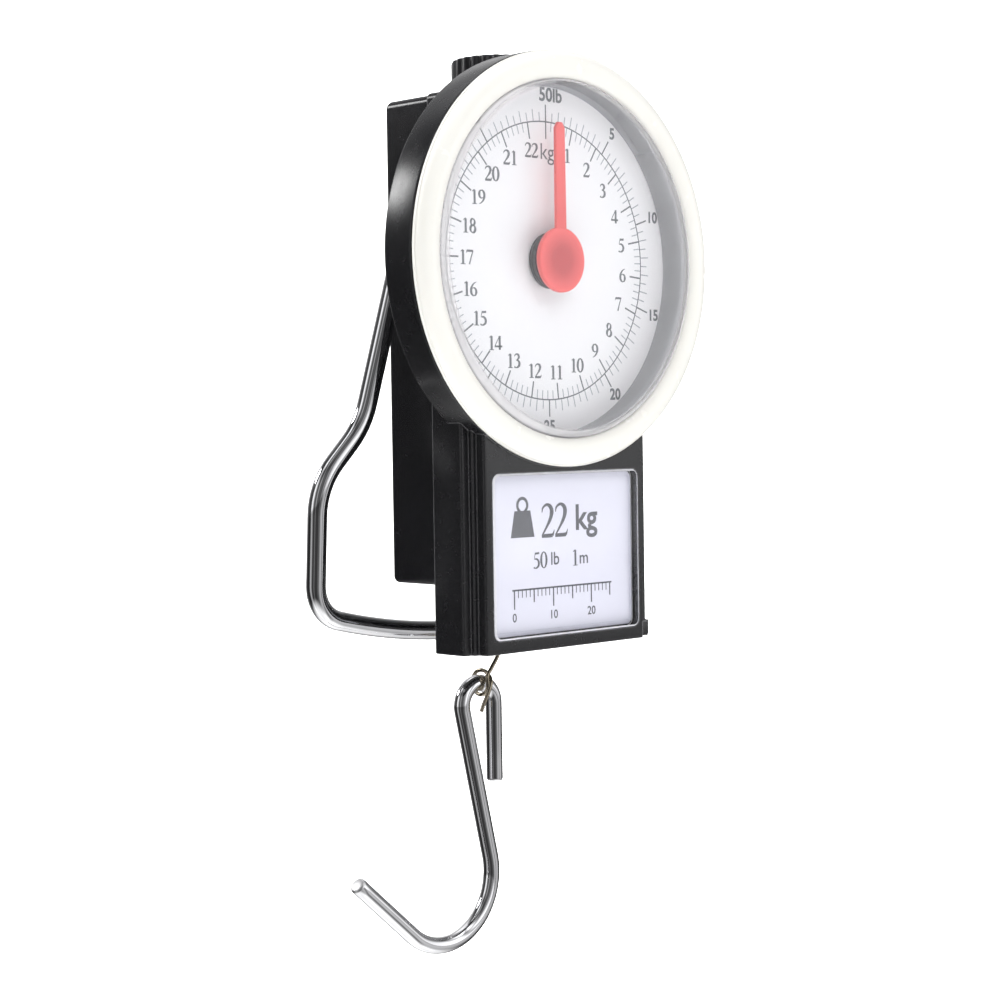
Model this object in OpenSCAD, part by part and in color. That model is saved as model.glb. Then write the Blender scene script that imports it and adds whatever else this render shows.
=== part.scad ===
// Hanging spring scale with a round dial, a fold-down wire handle, an S hook
// and a retractable tape measure in the lower case.
// Millimetres. +X right, +Y back, +Z up. Origin: where the dial axis meets the
// flat back face of the rear case. Every Y value below is therefore negative
// for a point inside the case, and the front of the dial looks along -Y.

/* [Dial case] */
// Outer diameter of the round dial drum
drum_d = 75.2; // [74:0.1:77]
// Depth of the round drum
drum_depth = 7.1; // [6.5:0.1:7.6]
// Outer diameter of the snap-on bezel ring
bezel_d = 75.0; // [74:0.1:75]
// Inner diameter of the bezel ring
bezel_bore = 64.8; // [64.6:0.1:66]
// Height of the bezel crest above its rear edge
bezel_crest = 2.5; // [1.8:0.1:3]

/* [Lower case] */
// Full width of the lower case
block_w = 47.2; // [46.8:0.1:49]
// Width of the narrower front face
face_w = 41.8; // [41:0.1:42.4]
// Distance from the dial axis down to the flat base
base_drop = 70.4; // [70:0.1:72]
// Label recess width
label_w = 38.0; // [34:0.1:39]
// Label recess height
label_h = 29.7; // [26:0.1:30]

/* [Rear case] */
// Width of the rear case
rear_w = 44.8; // [44.4:0.1:45.4]
// Depth of the rear case
rear_depth = 13.0; // [12.8:0.1:14]
// Distance from the dial axis up to the top of the rear case
rear_top = 29.1; // [29:0.1:31]
// Distance from the dial axis down to the bottom of the rear case
rear_drop = 58.3; // [58:0.1:60]

/* [Zero knob] */
// Knob diameter
knob_d = 17.0; // [15:0.1:17.5]
// Knob height
knob_h = 8.4; // [7:0.1:9]

/* [Handle] */
// Handle wire diameter
grip_d = 3.6; // [3.2:0.1:3.7]
// Half width of the grip at its widest, to the wire centre
grip_half = 40.2; // [36:0.1:44]
// Drop of the grip bar below its pivot
grip_drop = 70.6; // [69:0.1:76]
// Lean of the folded handle behind the vertical, in degrees
grip_lean = 7.5; // [5:0.5:12]

/* [Hook] */
// S hook wire diameter
hook_d = 3.1; // [2.6:0.1:3.2]
// Bend radius of the upper eye of the hook
hook_r1 = 4.1; // [3.9:0.1:4.6]
// Bend radius of the lower hook
hook_r2 = 12.15; // [10:0.05:14]
// Length of the straight tip of the hook
hook_tip = 17.4; // [10:0.1:22]

/* [Mechanism] */
// Link wire diameter
link_d = 0.8; // [0.7:0.05:1]
// Rack and pinion module
gear_m = 0.4; // [0.4:0.05:0.4]
// Pinion teeth
pinion_z = 10; // [10:1:10]
// Spring wire diameter
spring_wire = 1.3; // [1.1:0.05:1.4]
// Spring outside diameter
spring_od = 6.6; // [6:0.1:6.8]
// Coils in each spring
spring_coils = 21; // [20:1:21]

/* [Tape] */
// Tape width
tape_w = 4.8; // [4:0.1:4.8]
// Tape thickness
tape_t = 0.3; // [0.2:0.05:0.3]
// Radius of the wound tape
coil_r = 12.3; // [11:0.1:12.4]

/* [Hidden] */
$fn = 64;
e = 0.02;
y_part = -rear_depth;              // parting plane of the two cases
y_drum = y_part - 3.7;             // back of the drum
y_rim = y_drum - drum_depth;       // front rim of the drum
y_floor = y_drum - 1.9;            // front of the drum floor
y_dial = y_floor - 0.5;            // printed face of the dial
y_face = y_rim + 0.4;              // front face of the lower case
y_step2 = y_face + 2.0;
y_step1 = y_step2 + 0.95;
y_mech = -6.6;                     // plane of the springs and the rack
pivot_z = 1.5;                     // height of the handle pivot
pitch_r = gear_m * pinion_z / 2;
pitch = PI * gear_m;
spring_x = 10;
spring_rm = (spring_od - spring_wire) / 2;
spring_half = spring_coils * spring_wire / 2;
reel_z = -55.3;                    // reel axis
reel_y = -17.2;                    // middle of the tape's width
label_zc = -base_drop + 2.35 + label_h / 2;
link_z = -38.7;                    // swivel of the link in the draw bar
eye_x = -4.4;
eye_y = y_mech + 2.3;
eye_z = -78.0;
boss_x = 17.3;
boss_z = 23.7;
boss_z2 = -36.75;

// ---------- helpers ----------
// A cylinder along Y between two Y values.
module cy(r, y0, y1, x = 0, z = 0)
  translate([x, y0, z]) rotate([-90, 0, 0]) cylinder(r = r, h = y1 - y0);
// A cylinder along X.
module cx(r, x0, x1, y = 0, z = 0)
  translate([x0, y, z]) rotate([0, 90, 0]) cylinder(r = r, h = x1 - x0);
// A box from two corners.
module bx(a, b) translate(a) cube(b - a);
// Revolve a profile drawn as [radius, y] about the dial axis.
module rev_y(pts) rotate([-90, 0, 0]) rotate_extrude() polygon([for (p = pts) [p[0], p[1]]]);
// Rounded rectangle outline, corner arcs as points.
function rr(x0, y0, x1, y1, r, n = 6) = concat(
  [for (i = [0:n]) [x1 - r + r * cos(90 * i / n), y1 - r + r * sin(90 * i / n)]],
  [for (i = [0:n]) [x0 + r + r * cos(90 + 90 * i / n), y1 - r + r * sin(90 + 90 * i / n)]],
  [for (i = [0:n]) [x0 + r + r * cos(180 + 90 * i / n), y0 + r + r * sin(180 + 90 * i / n)]],
  [for (i = [0:n]) [x1 - r + r * cos(270 + 90 * i / n), y0 + r + r * sin(270 + 90 * i / n)]]);
// Prism of an X-Z outline between two Y values.
module prism(pts, y0, y1) translate([0, y1, 0]) rotate([90, 0, 0]) linear_extrude(y1 - y0) polygon(pts);
function unit(v) = v / norm(v);
function turn(a, b) = atan2(a[0] * b[1] - a[1] * b[0], a[0] * b[0] + a[1] * b[1]);
// Straight wire in the X-Z plane.
module wire_line(a, b, d, x0 = 0, x1 = 0) if (norm(b - a) > 0.001) {
  u = unit(b - a);
  translate([a[0] - u[0] * x0, 0, a[1] - u[1] * x0]) rotate([0, 90 - atan2(u[1], u[0]), 0])
    cylinder(d = d, h = norm(b - a) + x0 + x1);
}
// The bends are this much thicker than the straight runs, so the two surfaces
// never touch along a tangent line.
bend_extra = 0.02;
// Bent wire in the X-Z plane: corner i of path p is rounded to radius q[i].
function din(p, i) = unit(p[i] - p[i - 1]);
function dout(p, i) = unit(p[i + 1] - p[i]);
function tl(p, q, i) = (i <= 0 || i >= len(p) - 1) ? 0 : q[i] * tan(abs(turn(din(p, i), dout(p, i))) / 2);
module bent_wire(p, q, d, last = 0) {
  for (i = [0:len(p) - 2])
    wire_line(p[i] + dout(p, i) * tl(p, q, i), p[i + 1] - din(p, i + 1) * tl(p, q, i + 1), d,
      i > 0 ? 0.05 : 0, i < len(p) - 2 ? 0.05 : last);
  for (i = [1:len(p) - 2]) {
    t = turn(din(p, i), dout(p, i));
    a = p[i] - din(p, i) * tl(p, q, i);
    b = p[i] + dout(p, i) * tl(p, q, i);
    s = t > 0 ? 1 : -1;
    c = a + s * q[i] * [-din(p, i)[1], din(p, i)[0]];
    k = t > 0 ? a : b;
    translate([c[0], 0, c[1]]) rotate([90, 0, 0])
      rotate_extrude(angle = abs(t), start = atan2(k[1] - c[1], k[0] - c[0])) translate([q[i], 0]) circle(d = d + bend_extra);
  }
}
// Pan-head screw along Y, head towards +Y, tip towards -Y.
module screw_y(x, z, y_tip, y_head, r, hr, hh) {
  difference() {
    cy(hr, y_head - hh, y_head, x, z);
    translate([x - hr * 0.65, y_head - hh * 0.5, z - 0.25]) cube([hr * 1.3, hh, 0.5]);
    translate([x - 0.25, y_head - hh * 0.5, z - hr * 0.65]) cube([0.5, hh, hr * 1.3]);
  }
  cy(r, y_tip, y_head - hh + e, x, z);
}

// ---------- case ----------
module front_case() color([0.07, 0.07, 0.08]) difference() {
  union() {
    cy(drum_d / 2 - 0.5, y_rim, y_rim + 0.5 + e);
    cy(drum_d / 2, y_rim + 0.5, y_drum);
    prism(rr(-block_w / 2, -base_drop, block_w / 2, rear_top, 1.2), y_step1, y_part);
    bx([-face_w / 2 - 1, y_step2, -base_drop], [face_w / 2 + 1, y_step1 + e, -20]);
    bx([-face_w / 2, y_face, -base_drop], [face_w / 2, y_step2 + e, -20]);
  }
  // dial chamber, open to the front
  cy(drum_d / 2 - 1.9, y_rim - 1, y_floor);
  // cavity behind the dial floor
  difference() {
    bx([-20.6, y_drum, -34], [20.6, y_part + 1, 27.3]);
    for (s = [-1, 1]) cy(3.4, y_drum - 1, y_part, s * boss_x, boss_z);
    cy(4.2, y_drum - 1, y_drum + 1.6);
  }
  cy(2.4, y_floor - 1, y_part);
  // bores for the case screws
  for (s = [-1, 1]) { cy(1.2, y_drum, y_part + 1, s * boss_x, boss_z); cy(1.2, -19, y_part + 1, s * boss_x, boss_z2); }
  // label recess
  prism(rr(-label_w / 2, label_zc - label_h / 2, label_w / 2, label_zc + label_h / 2, 1.6), y_face - 1, y_face + 1.8);
  // tape compartment, open to the rear
  difference() {
    bx([-21.8, -20.4, -68.6], [21.8, y_part + 1, -39.5]);
    for (p = [[-18.9, -42.3], [18.9, -42.3], [-18.9, -65.7]]) cy(2.5, -21, y_part - 1.0, p[0], p[1]);
  }
  for (p = [[-18.9, -42.3], [18.9, -42.3], [-18.9, -65.7]]) cy(0.9, -18.6, y_part, p[0], p[1]);
  // reel axle seat
  cy(2.0, -21.1, -19, 0, reel_z);
  // tape mouth
  bx([21, reel_y - tape_w / 2 - 0.15, -68.1], [24, reel_y + tape_w / 2 + 0.15, -67.4]);
  // corner notch for the tape tab
  bx([block_w / 2 - 1, y_step1 - 0.3, -base_drop - 1], [block_w / 2 + 1, y_part + 1, -67.2]);
  bx([face_w / 2, y_step2 - 0.3, -base_drop - 1], [block_w / 2 + 1, y_step1 - 0.3 + e, -67.2]);
  bx([face_w / 2 - 1, y_face - 1, -base_drop - 1], [block_w / 2 + 1, y_step2 - 0.3 + e, -67.2]);
}
module rear_case() color([0.06, 0.06, 0.07]) difference() {
  union() {
    intersection() {
      prism(rr(-rear_w / 2, -rear_drop, rear_w / 2, rear_top, 1.5), y_part, 0);
      // side profile with rounded back corners
      translate([-rear_w, 0, 0]) rotate([90, 0, 90]) linear_extrude(2 * rear_w)
        polygon(concat([[y_part, -rear_drop], [y_part, rear_top]],
          [for (i = [0:5]) [-1.2 + 1.2 * sin(18 * i), rear_top - 1.2 + 1.2 * cos(18 * i)]],
          [for (i = [0:5]) [-1.2 + 1.2 * cos(18 * i), -rear_drop + 1.2 - 1.2 * sin(18 * i)]]));
      // plan profile with rounded back corners
      translate([0, 0, -rear_drop - 1]) linear_extrude(rear_top + rear_drop + 2)
        polygon(concat([[rear_w / 2, y_part], [-rear_w / 2, y_part]],
          [for (i = [0:5]) [-rear_w / 2 + 1.2 - 1.2 * cos(18 * i), -1.2 + 1.2 * sin(18 * i)]],
          [for (i = [0:5]) [rear_w / 2 - 1.2 + 1.2 * sin(18 * i), -1.2 + 1.2 * cos(18 * i)]]));
    }
  }
  difference() {
    bx([-20.6, y_part - 1, -rear_drop + 1.9], [20.6, -1.8, rear_top - 1.8]);
    for (s = [-1, 1]) for (z = [boss_z, boss_z2]) cy(3.7, y_part - 2, 0, s * boss_x, z);
  }
  // handle pivots
  cx(grip_d / 2 + 0.08, -rear_w, rear_w, y_mech, pivot_z);
  // slot for the link wire
  bx([-3.2, y_mech - 1.4, -rear_drop - 1], [3.2, y_mech + 1.4, -rear_drop + 3]);
  // hole for the zero screw
  translate([0, y_mech, rear_top - 3]) cylinder(r = 1.8, h = 5);
  // case screws
  for (s = [-1, 1]) for (z = [boss_z, boss_z2]) { cy(1.5, y_part - 1, 0, s * boss_x, z); cy(2.8, -3.4, 1, s * boss_x, z); }
  // blind bores that take the chassis screws
  for (s = [-1, 1]) for (z = [-26, 19.5]) cy(0.97, -4, -0.8, s * 5, z);
}
module case_screws() color([0.75, 0.75, 0.77])
  for (s = [-1, 1]) { screw_y(s * boss_x, boss_z, -16.6, -1.4, 1.15, 2.5, 2.0); screw_y(s * boss_x, boss_z2, -18.6, -1.4, 1.15, 2.5, 2.0); }
module bezel_ring() color([0.96, 0.95, 0.92]) {
  ro = bezel_d / 2; ri = bezel_bore / 2; yb = y_rim; n = 14;
  rev_y(concat(
    [[ri, yb + 0.6], [ri, yb - 1.3]],
    [for (i = [0:n]) let (a = 180 - 180 * i / n) [(ri + ro) / 2 - 0.1 + ((ro - ri) / 2 - 0.1) * cos(a), yb - 1.1 - (bezel_crest - 1.1) * sin(a) + (i > n / 2 ? 0.5 * (i - n / 2) / (n / 2) : 0)]],
    [[ro, yb - 0.4], [ro, yb - 0.02], [35.6, yb - 0.02], [35.6, yb + 2.2], [34.7, yb + 2.2], [34.7, yb + 0.6]]));
}
module dial_lens() color([0.85, 0.9, 0.95, 0.35])
  rev_y(concat([[0, y_rim - 2.4]],
    [for (i = [0:6]) let (a = -90 + 15 * i) [30.7 + 1.6 * cos(a), y_rim - 0.8 + 1.6 * sin(a)]],
    [[32.3, y_dial - 0.9], [34.4, y_dial - 0.9], [34.4, y_dial - 0.02], [31.5, y_dial - 0.02]],
    [for (i = [0:3]) let (a = -30 * i) [30.7 + 0.8 * cos(a), y_rim - 0.8 + 0.8 * sin(a)]],
    [[0, y_rim - 1.6]]));
module dial_plate() color([0.96, 0.96, 0.97]) difference() { cy(35.4, y_dial, y_floor); cy(1.6, y_dial - 1, y_floor + 1); }
module label_card() color([0.94, 0.95, 0.99])
  prism(rr(-label_w / 2 + 0.5, label_zc - label_h / 2 + 0.5, label_w / 2 - 0.5, label_zc + label_h / 2 - 0.5, 1.2), y_face + 1.5, y_face + 1.78);
module label_window() color([0.9, 0.93, 0.97, 0.35]) {
  w = label_w / 2 - 0.05; h = label_h / 2 - 0.05;
  difference() {
    prism(rr(-w, label_zc - h, w, label_zc + h, 1.55), y_face - 0.25, y_face + 1.76);
    prism(rr(-w + 1.2, label_zc - h + 1.2, w - 1.2, label_zc + h - 1.2, 0.8), y_face + 0.75, y_face + 3);
    prism(rr(-label_w / 2 + 0.45, label_zc - label_h / 2 + 0.45, label_w / 2 - 0.45, label_zc + label_h / 2 - 0.45, 1.25), y_face + 1.45, y_face + 3);
  }
}
// ---------- chassis ----------
module chassis_plate() color([0.7, 0.72, 0.74]) difference() {
  union() {
    bx([-13.5, -2.9, -30], [13.5, -1.9, 24.0]);
    bx([-20.2, -2.9, -5.5], [20.2, -1.9, 8.5]);
    bx([-12, -10.5, 22.8], [12, -1.9, 24.0]);
    for (s = [-1, 1]) bx([s * 19.7 - 0.6, -10.5, -5.5], [s * 19.7 + 0.6, -1.9, 8.5]);
  }
  cx(grip_d / 2 + 0.08, -25, 25, y_mech, pivot_z);
  translate([0, y_mech, 20]) cylinder(r = 1.7, h = 6);
  cy(2.2, -4, -1);
  for (s = [-1, 1]) for (z = [-26, 19.5]) cy(1.0, -4, -1, s * 5, z);
}
module chassis_screws() color([0.75, 0.75, 0.77])
  for (s = [-1, 1]) for (z = [-26, 19.5]) mirror([0, 1, 0]) screw_y(s * 5, z, 0.9, 3.7, 0.95, 1.7, 0.8);
module rear_bush() color([0.8, 0.65, 0.3]) difference() { cy(2.2, -3.6, -1.9); cy(1.05, -5, 0); }
module front_bush() color([0.8, 0.65, 0.3]) difference() {
  union() { cy(2.4, y_floor, y_drum + 1.6); cy(3.2, y_drum + 1.6, y_drum + 2.2); }
  cy(1.05, y_floor - 1, y_part);
}
module rack_guide() color([0.9, 0.9, 0.86]) difference() {
  bx([4.2, y_mech - 2.2, -4], [6.3, -2.9, 4]);
  bx([4, y_mech - 0.75, -5], [5.15, y_mech + 0.75, 5]);
}
module thrust_washer() color([0.8, 0.65, 0.3]) translate([0, y_mech, 24.0]) difference() { cylinder(r = 3.4, h = 0.6); translate([0, 0, -1]) cylinder(r = 1.7, h = 3); }
// ---------- zero adjuster ----------
module zero_knob() color([0.06, 0.06, 0.07]) translate([0, y_mech, rear_top + 0.4]) difference() {
  union() {
    difference() {
      cylinder(r = knob_d / 2, h = knob_h);
      for (i = [0:23]) rotate([0, 0, i * 15]) translate([knob_d / 2 + 0.35, 0, 1.4]) cylinder(r = 0.75, h = knob_h, $fn = 16);
    }
  }
  translate([0, 0, -1]) cylinder(r = 1.5, h = 7);
  translate([0, 0, knob_h - 0.6]) cylinder(r = 5.2, h = 2);
}
module zero_screw() color([0.75, 0.75, 0.77]) translate([0, y_mech, 0]) union() {
  translate([0, 0, 15.4]) cylinder(r = 1.5, h = rear_top + 6.3 - 15.4);
  translate([0, 0, 24.62]) cylinder(r = 3.0, h = 1.0);
}
module spring_anchor() color([0.72, 0.73, 0.75]) difference() {
  union() {
    prism(rr(-13.5, 16.4, 13.5, 21.6, 1.0), y_mech - 0.6, y_mech + 0.6);
    translate([0, y_mech, 16.4]) cylinder(r = 3.4, h = 5.2);
  }
  translate([0, y_mech, 10]) cylinder(r = 2.6, h = 20);
  for (s = [-1, 1]) cy(1.1, -20, 0, s * spring_x, 15.65 + spring_rm + 0.32);
}
module zero_nut() color([0.8, 0.65, 0.3]) translate([0, y_mech, 0]) difference() {
  union() {
    translate([0, 0, 16.3]) cylinder(r = 2.59, h = 5.2);
    translate([0, 0, 15.8]) cylinder(r = 3.3, h = 0.58);
  }
  translate([0, 0, 10]) cylinder(r = 1.55, h = 18);
}
// ---------- springs ----------
module ring_yz(rm, d, x, y, z) translate([x, y, z]) rotate([0, 90, 0]) rotate_extrude() translate([rm, 0]) circle(d = d);
module tension_spring(x) color([0.72, 0.72, 0.74]) {
  w = spring_wire; ro = spring_od / 2; ri = ro - w;
  // close-wound body as a ribbed sleeve
  translate([x, y_mech, 0]) rotate_extrude() polygon(concat(
    [for (i = [0:spring_coils - 1]) for (k = [-1.5, -0.5, 0.5, 1.5])
      [ro - w * 0.5 * (1 - cos(k * 38)), -spring_half + w * (i + 0.5 + k / 4)]],
    [for (i = [spring_coils - 1:-1:0]) for (k = [1.5, 0.5, -0.5, -1.5])
      [ri + w * 0.4 * (1 - cos(k * 38)), -spring_half + w * (i + 0.5 + k / 4)]]));
  for (s = [-1, 1]) ring_yz(spring_rm, w, x, y_mech, s * (spring_half + spring_rm - w * 0.5));
}
module spring_left() tension_spring(-spring_x);
module spring_right() tension_spring(spring_x);
// ---------- rack, pinion, pointer ----------
function inv(a) = tan(a) * 180 / PI - a;
rb = pitch_r * cos(20);
function tooth_half(r) = 6.8 + inv(20) - inv(acos(min(1, rb / r)));
module pinion() color([0.82, 0.68, 0.32]) translate([0, y_mech - 0.8, 0]) rotate([-90, 0, 0]) linear_extrude(1.6) difference() {
  polygon([for (i = [0:pinion_z - 1]) let (a = i * 360 / pinion_z) for (p = [
      [1.5, -tooth_half(rb) - 1.5], [rb, -tooth_half(rb)], [pitch_r, -tooth_half(pitch_r)], [2.2, -tooth_half(2.2)], [2.34, -tooth_half(2.34)],
      [2.34, tooth_half(2.34)], [2.2, tooth_half(2.2)], [pitch_r, tooth_half(pitch_r)], [rb, tooth_half(rb)], [1.5, tooth_half(rb) + 1.5]])
    [p[0] * cos(a + p[1]), p[0] * sin(a + p[1])]]);
  circle(r = 1.0);
}
module rack_bar() color([0.7, 0.71, 0.73]) difference() {
  union() {
    // toothed strip beside the pinion
    prism(concat([[5.0, -17], [2.5, -17], [2.5, -2.6]],
      [for (i = [-2:10]) let (z = (i + 0.5) * pitch) for (p = [[2.5, -0.226 - 0.18], [1.7, -0.226 + 0.11], [1.7, 0.226 - 0.11], [2.5, 0.226 + 0.18]]) [p[0], z + p[1]]],
      [[2.5, 14.6], [5.0, 14.6]]), y_mech - 0.6, y_mech + 0.6);
    // cross head for the springs and the tail to the link
    prism(rr(-13.5, -22, 13.5, -16.0, 1.2), y_mech - 0.6, y_mech + 0.6);
    prism(rr(-3, -40.4, 3, -18, 1.5), y_mech - 0.6, y_mech + 0.6);
  }
  for (s = [-1, 1]) cy(1.1, -20, 0, s * spring_x, -15.65 - spring_rm - 0.32);
  cy(0.95, -20, 0, 0, link_z + 0.2);
}
module pointer_shaft() color([0.8, 0.8, 0.82]) cy(1.0, y_dial - 3.3, -1.95);
module pointer_hub() color([0.2, 0.19, 0.2]) difference() { cy(5.1, y_dial - 2.95, y_dial - 0.25); cy(1.0, -30, 0); }
module pointer() color([0.92, 0.22, 0.18]) difference() {
  union() {
    cy(5.9, y_dial - 3.9, y_dial - 2.95);
    prism([[-1.3, 0], [-1.15, 23.6], [-0.6, 24.9], [0.6, 24.9], [1.15, 23.6], [1.3, 0]], y_dial - 3.8, y_dial - 3.1);
  }
  cy(1.0, y_dial - 3.35, 0);
}
// ---------- link, hook, handle ----------
module arc_yz(rm, d, x, y, z, a0, a1) translate([x, y, z]) rotate([90, 0, 90])
  rotate_extrude(angle = a1 - a0, start = a0) translate([rm, 0]) circle(d = d);
module link_wire() color([0.75, 0.73, 0.7]) {
  d = link_d;
  ring_yz(1.9, d, 0, y_mech, link_z - 1.9);
  translate([0, y_mech, 0]) bent_wire([[0, link_z - 3.7], [0, -61], [-2.0, -73], [eye_x, -76.4], [eye_x, eye_z]], [0, 12, 3, 2, 0], d, 0.05);
  // open eye round the top bend of the hook, with its cut end hanging free
  arc_yz(2.3, d + bend_extra, eye_x, eye_y, eye_z, 180, 465);
  translate([0, eye_y - 1.75, 0]) wire_line([eye_x - 0.1, eye_z - 1.6], [eye_x - 1.7, eye_z - 5.3], d - 0.1);
}
c1 = [-5.2, -82.1];
c2 = [-14.5, -113.6];
// direction of the shank, tangent to both bends
sh = atan2(c2[1] - c1[1], c2[0] - c1[0]) + asin((hook_r1 + hook_r2) / norm(c2 - c1));
module arc_xz(c, r, d, a0, a1) translate([c[0], 0, c[1]]) rotate([90, 0, 0]) rotate_extrude(angle = a1 - a0, start = a0) translate([r, 0]) circle(d = d + bend_extra);
module s_hook() color([0.78, 0.78, 0.8]) translate([0, eye_y, 0]) {
  n = [-sin(sh), cos(sh)];           // left of the shank direction
  t1 = c1 - hook_r1 * n; t2 = c2 + hook_r2 * n;
  // n points to the right of the drawing for a falling shank
  a1 = atan2(t1[1] - c1[1], t1[0] - c1[0]);
  a2 = atan2(t2[1] - c2[1], t2[0] - c2[0]);
  ta = -131.5;                       // where the tip leaves the lower bend
  t3 = c2 + hook_r2 * [cos(ta), sin(ta)];
  td = [cos(ta - 90), sin(ta - 90)];
  difference() {
    union() {
      wire_line([c1[0] + hook_r1, -96.9], [c1[0] + hook_r1, c1[1]], hook_d, 0, 0.05);
      arc_xz(c1, hook_r1, hook_d, 0, a1 < 0 ? a1 + 360 : a1);
      wire_line(t1, t2, hook_d, 0.05, 0.05);
      arc_xz(c2, hook_r2, hook_d, ta, a2);
      wire_line(t3, t3 + hook_tip * td, hook_d, 0.05, 0);
    }
  }
}
gp = [[-18.8, 0], [-24.7, 0], [-30.9, 31.2], [-grip_half - 0.1, 41.8], [-grip_half + 1.3, 65.2]];
module handle() color([0.78, 0.78, 0.8]) translate([0, y_mech, pivot_z]) rotate([grip_lean, 0, 0]) {
  // the bar is a shallow arc through both lower corners
  b = gp[4]; sag = grip_drop - b[1];
  R = (b[0] * b[0] + sag * sag) / (2 * sag);
  cz = -grip_drop + R;                     // centre of the bar's arc
  // chord direction at the corner, replaced by a straight tangent run
  k = asin(33.2 / R);
  p3 = [-33.2, cz - R * cos(k)];
  td = [cos(k), -sin(k)];
  q4 = [for (g = gp) [g[0], -g[1]]];
  // corner where the side line meets the tangent line
  sd = unit([1.4, -23.4]);
  s0 = q4[3];
  u = (td[0] * (s0[1] - p3[1]) - td[1] * (s0[0] - p3[0])) / (sd[0] * td[1] - sd[1] * td[0]);
  cor = s0 + sd * u;
  path = [q4[0], q4[1], q4[2], q4[3], cor, p3];
  for (m = [0, 1]) mirror([m, 0, 0]) bent_wire(path, [0, 2.4, 15, 13, 7.6, 0], grip_d, 0.05);
  translate([0, 0, cz]) rotate([90, 0, 0]) rotate_extrude(angle = 2 * k, start = 270 - k) translate([R, 0]) circle(d = grip_d + bend_extra);
}
// ---------- tape measure ----------
module tape_cover() color([0.06, 0.06, 0.07]) difference() {
  bx([-21.7, y_part - 1.0, -68.5], [21.7, y_part, -39.6]);
  cy(2.0, -20, 0, 0, reel_z);
  for (p = [[-18.9, -42.3], [18.9, -42.3], [-18.9, -65.7]]) { cy(1.0, -20, 0, p[0], p[1]); cy(1.9, y_part - 0.5, 0, p[0], p[1]); }
}
module tape_cover_screws() color([0.75, 0.75, 0.77])
  for (p = [[-18.9, -42.3], [18.9, -42.3], [-18.9, -65.7]]) screw_y(p[0], p[1], -18.2, y_part - 0.05, 0.85, 1.8, 0.45);
module reel_axle() color([0.72, 0.72, 0.74]) difference() {
  cy(2.0, -21, y_part, 0, reel_z);
  // slot that takes the inner end of the power spring
  bx([-0.25, -19.0, reel_z - 3], [0.25, y_part - 1.6, reel_z + 3]);
}
module tape_reel() color([0.85, 0.85, 0.82]) difference() {
  union() {
    cy(13.0, reel_y - tape_w / 2 - 0.65, reel_y - tape_w / 2 - 0.1, 0, reel_z);
    cy(7.5, reel_y - tape_w / 2 - 0.2, reel_y + tape_w / 2 + 0.1, 0, reel_z);
    cy(13.0, reel_y + tape_w / 2 + 0.1, reel_y + tape_w / 2 + 0.55 - e, 0, reel_z);
  }
  cy(6.4, reel_y - tape_w / 2, 0, 0, reel_z);
  cy(2.06, -30, 0, 0, reel_z);
}
module tape_coil() color([0.93, 0.9, 0.62]) difference() {
  cy(coil_r, reel_y - tape_w / 2, reel_y + tape_w / 2, 0, reel_z);
  cy(7.5, -30, 0, 0, reel_z);
}
tape_z = reel_z - coil_r - 0.05;
rivet_x = block_w / 2 - 0.25;
module tape_blade() color([0.93, 0.9, 0.62]) difference() {
  bx([0, reel_y - tape_w / 2, tape_z - tape_t], [block_w / 2 + 0.25, reel_y + tape_w / 2, tape_z]);
  for (s = [-1, 1]) translate([rivet_x, reel_y + s * 1.3, -75]) cylinder(r = 0.36, h = 10, $fn = 24);
}
module tape_tab() color([0.07, 0.07, 0.08]) difference() {
  translate([0, 0, -70.0]) linear_extrude(2.72) polygon([
    [face_w / 2 - 0.95, y_face + 0.05], [face_w / 2 + 0.5, y_face + 0.05], [face_w / 2 + 0.5, y_step2 - 0.15],
    [block_w / 2, y_step2 - 0.15], [block_w / 2, y_step1 - 0.1], [block_w / 2 + 0.5, y_step1 - 0.1], [block_w / 2 + 0.5, y_part - 0.1], [block_w / 2 - 0.95, y_part - 0.1],
    [block_w / 2 - 0.95, y_step1 - 0.35], [face_w / 2 + 0.05, y_step1 - 0.35], [face_w / 2 + 0.05, y_step2 - 0.35],
    [face_w / 2 - 0.95, y_step2 - 0.35]]);
  bx([block_w / 2 - 2, reel_y - tape_w / 2 - 0.05, tape_z - tape_t - 0.02], [block_w / 2 + 0.3, reel_y + tape_w / 2 + 0.05, tape_z + 0.02]);
  for (s = [-1, 1]) translate([rivet_x, reel_y + s * 1.3, -75]) cylinder(r = 0.36, h = 10, $fn = 24);
}
module tab_rivets() color([0.8, 0.8, 0.82]) for (s = [-1, 1])
  translate([rivet_x, reel_y + s * 1.3, -70.18]) union() { cylinder(r = 0.35, h = 3.0, $fn = 24); cylinder(r = 0.6, h = 0.18, $fn = 24); }
sp_n = 108; sp_turns = 4.5;
function sp_pt(i, o) = (2.35 + 3.75 * i / sp_n + o) * [cos(360 * sp_turns * i / sp_n), sin(360 * sp_turns * i / sp_n)];
module tape_power_spring() color([0.45, 0.47, 0.5]) {
  pts = concat([for (i = [0:sp_n]) sp_pt(i, -0.11)], [for (i = [sp_n:-1:0]) sp_pt(i, 0.11)]);
  translate([0, y_part - 1.7, reel_z]) rotate([90, 0, 0]) linear_extrude(4.0) polygon(pts);
}

front_case();
rear_case();
bezel_ring();
dial_lens();
dial_plate();
label_card();
label_window();
chassis_plate();
case_screws();
chassis_screws();
front_bush();
rear_bush();
rack_guide();
thrust_washer();
tape_cover();
tape_cover_screws();
reel_axle();
tape_power_spring();
pointer();
pointer_hub();
pointer_shaft();
pinion();
rack_bar();
spring_left();
spring_right();
link_wire();
s_hook();
handle();
zero_knob();
zero_screw();
spring_anchor();
zero_nut();
tape_tab();
tape_blade();
tab_rivets();
tape_reel();
tape_coil();
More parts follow.
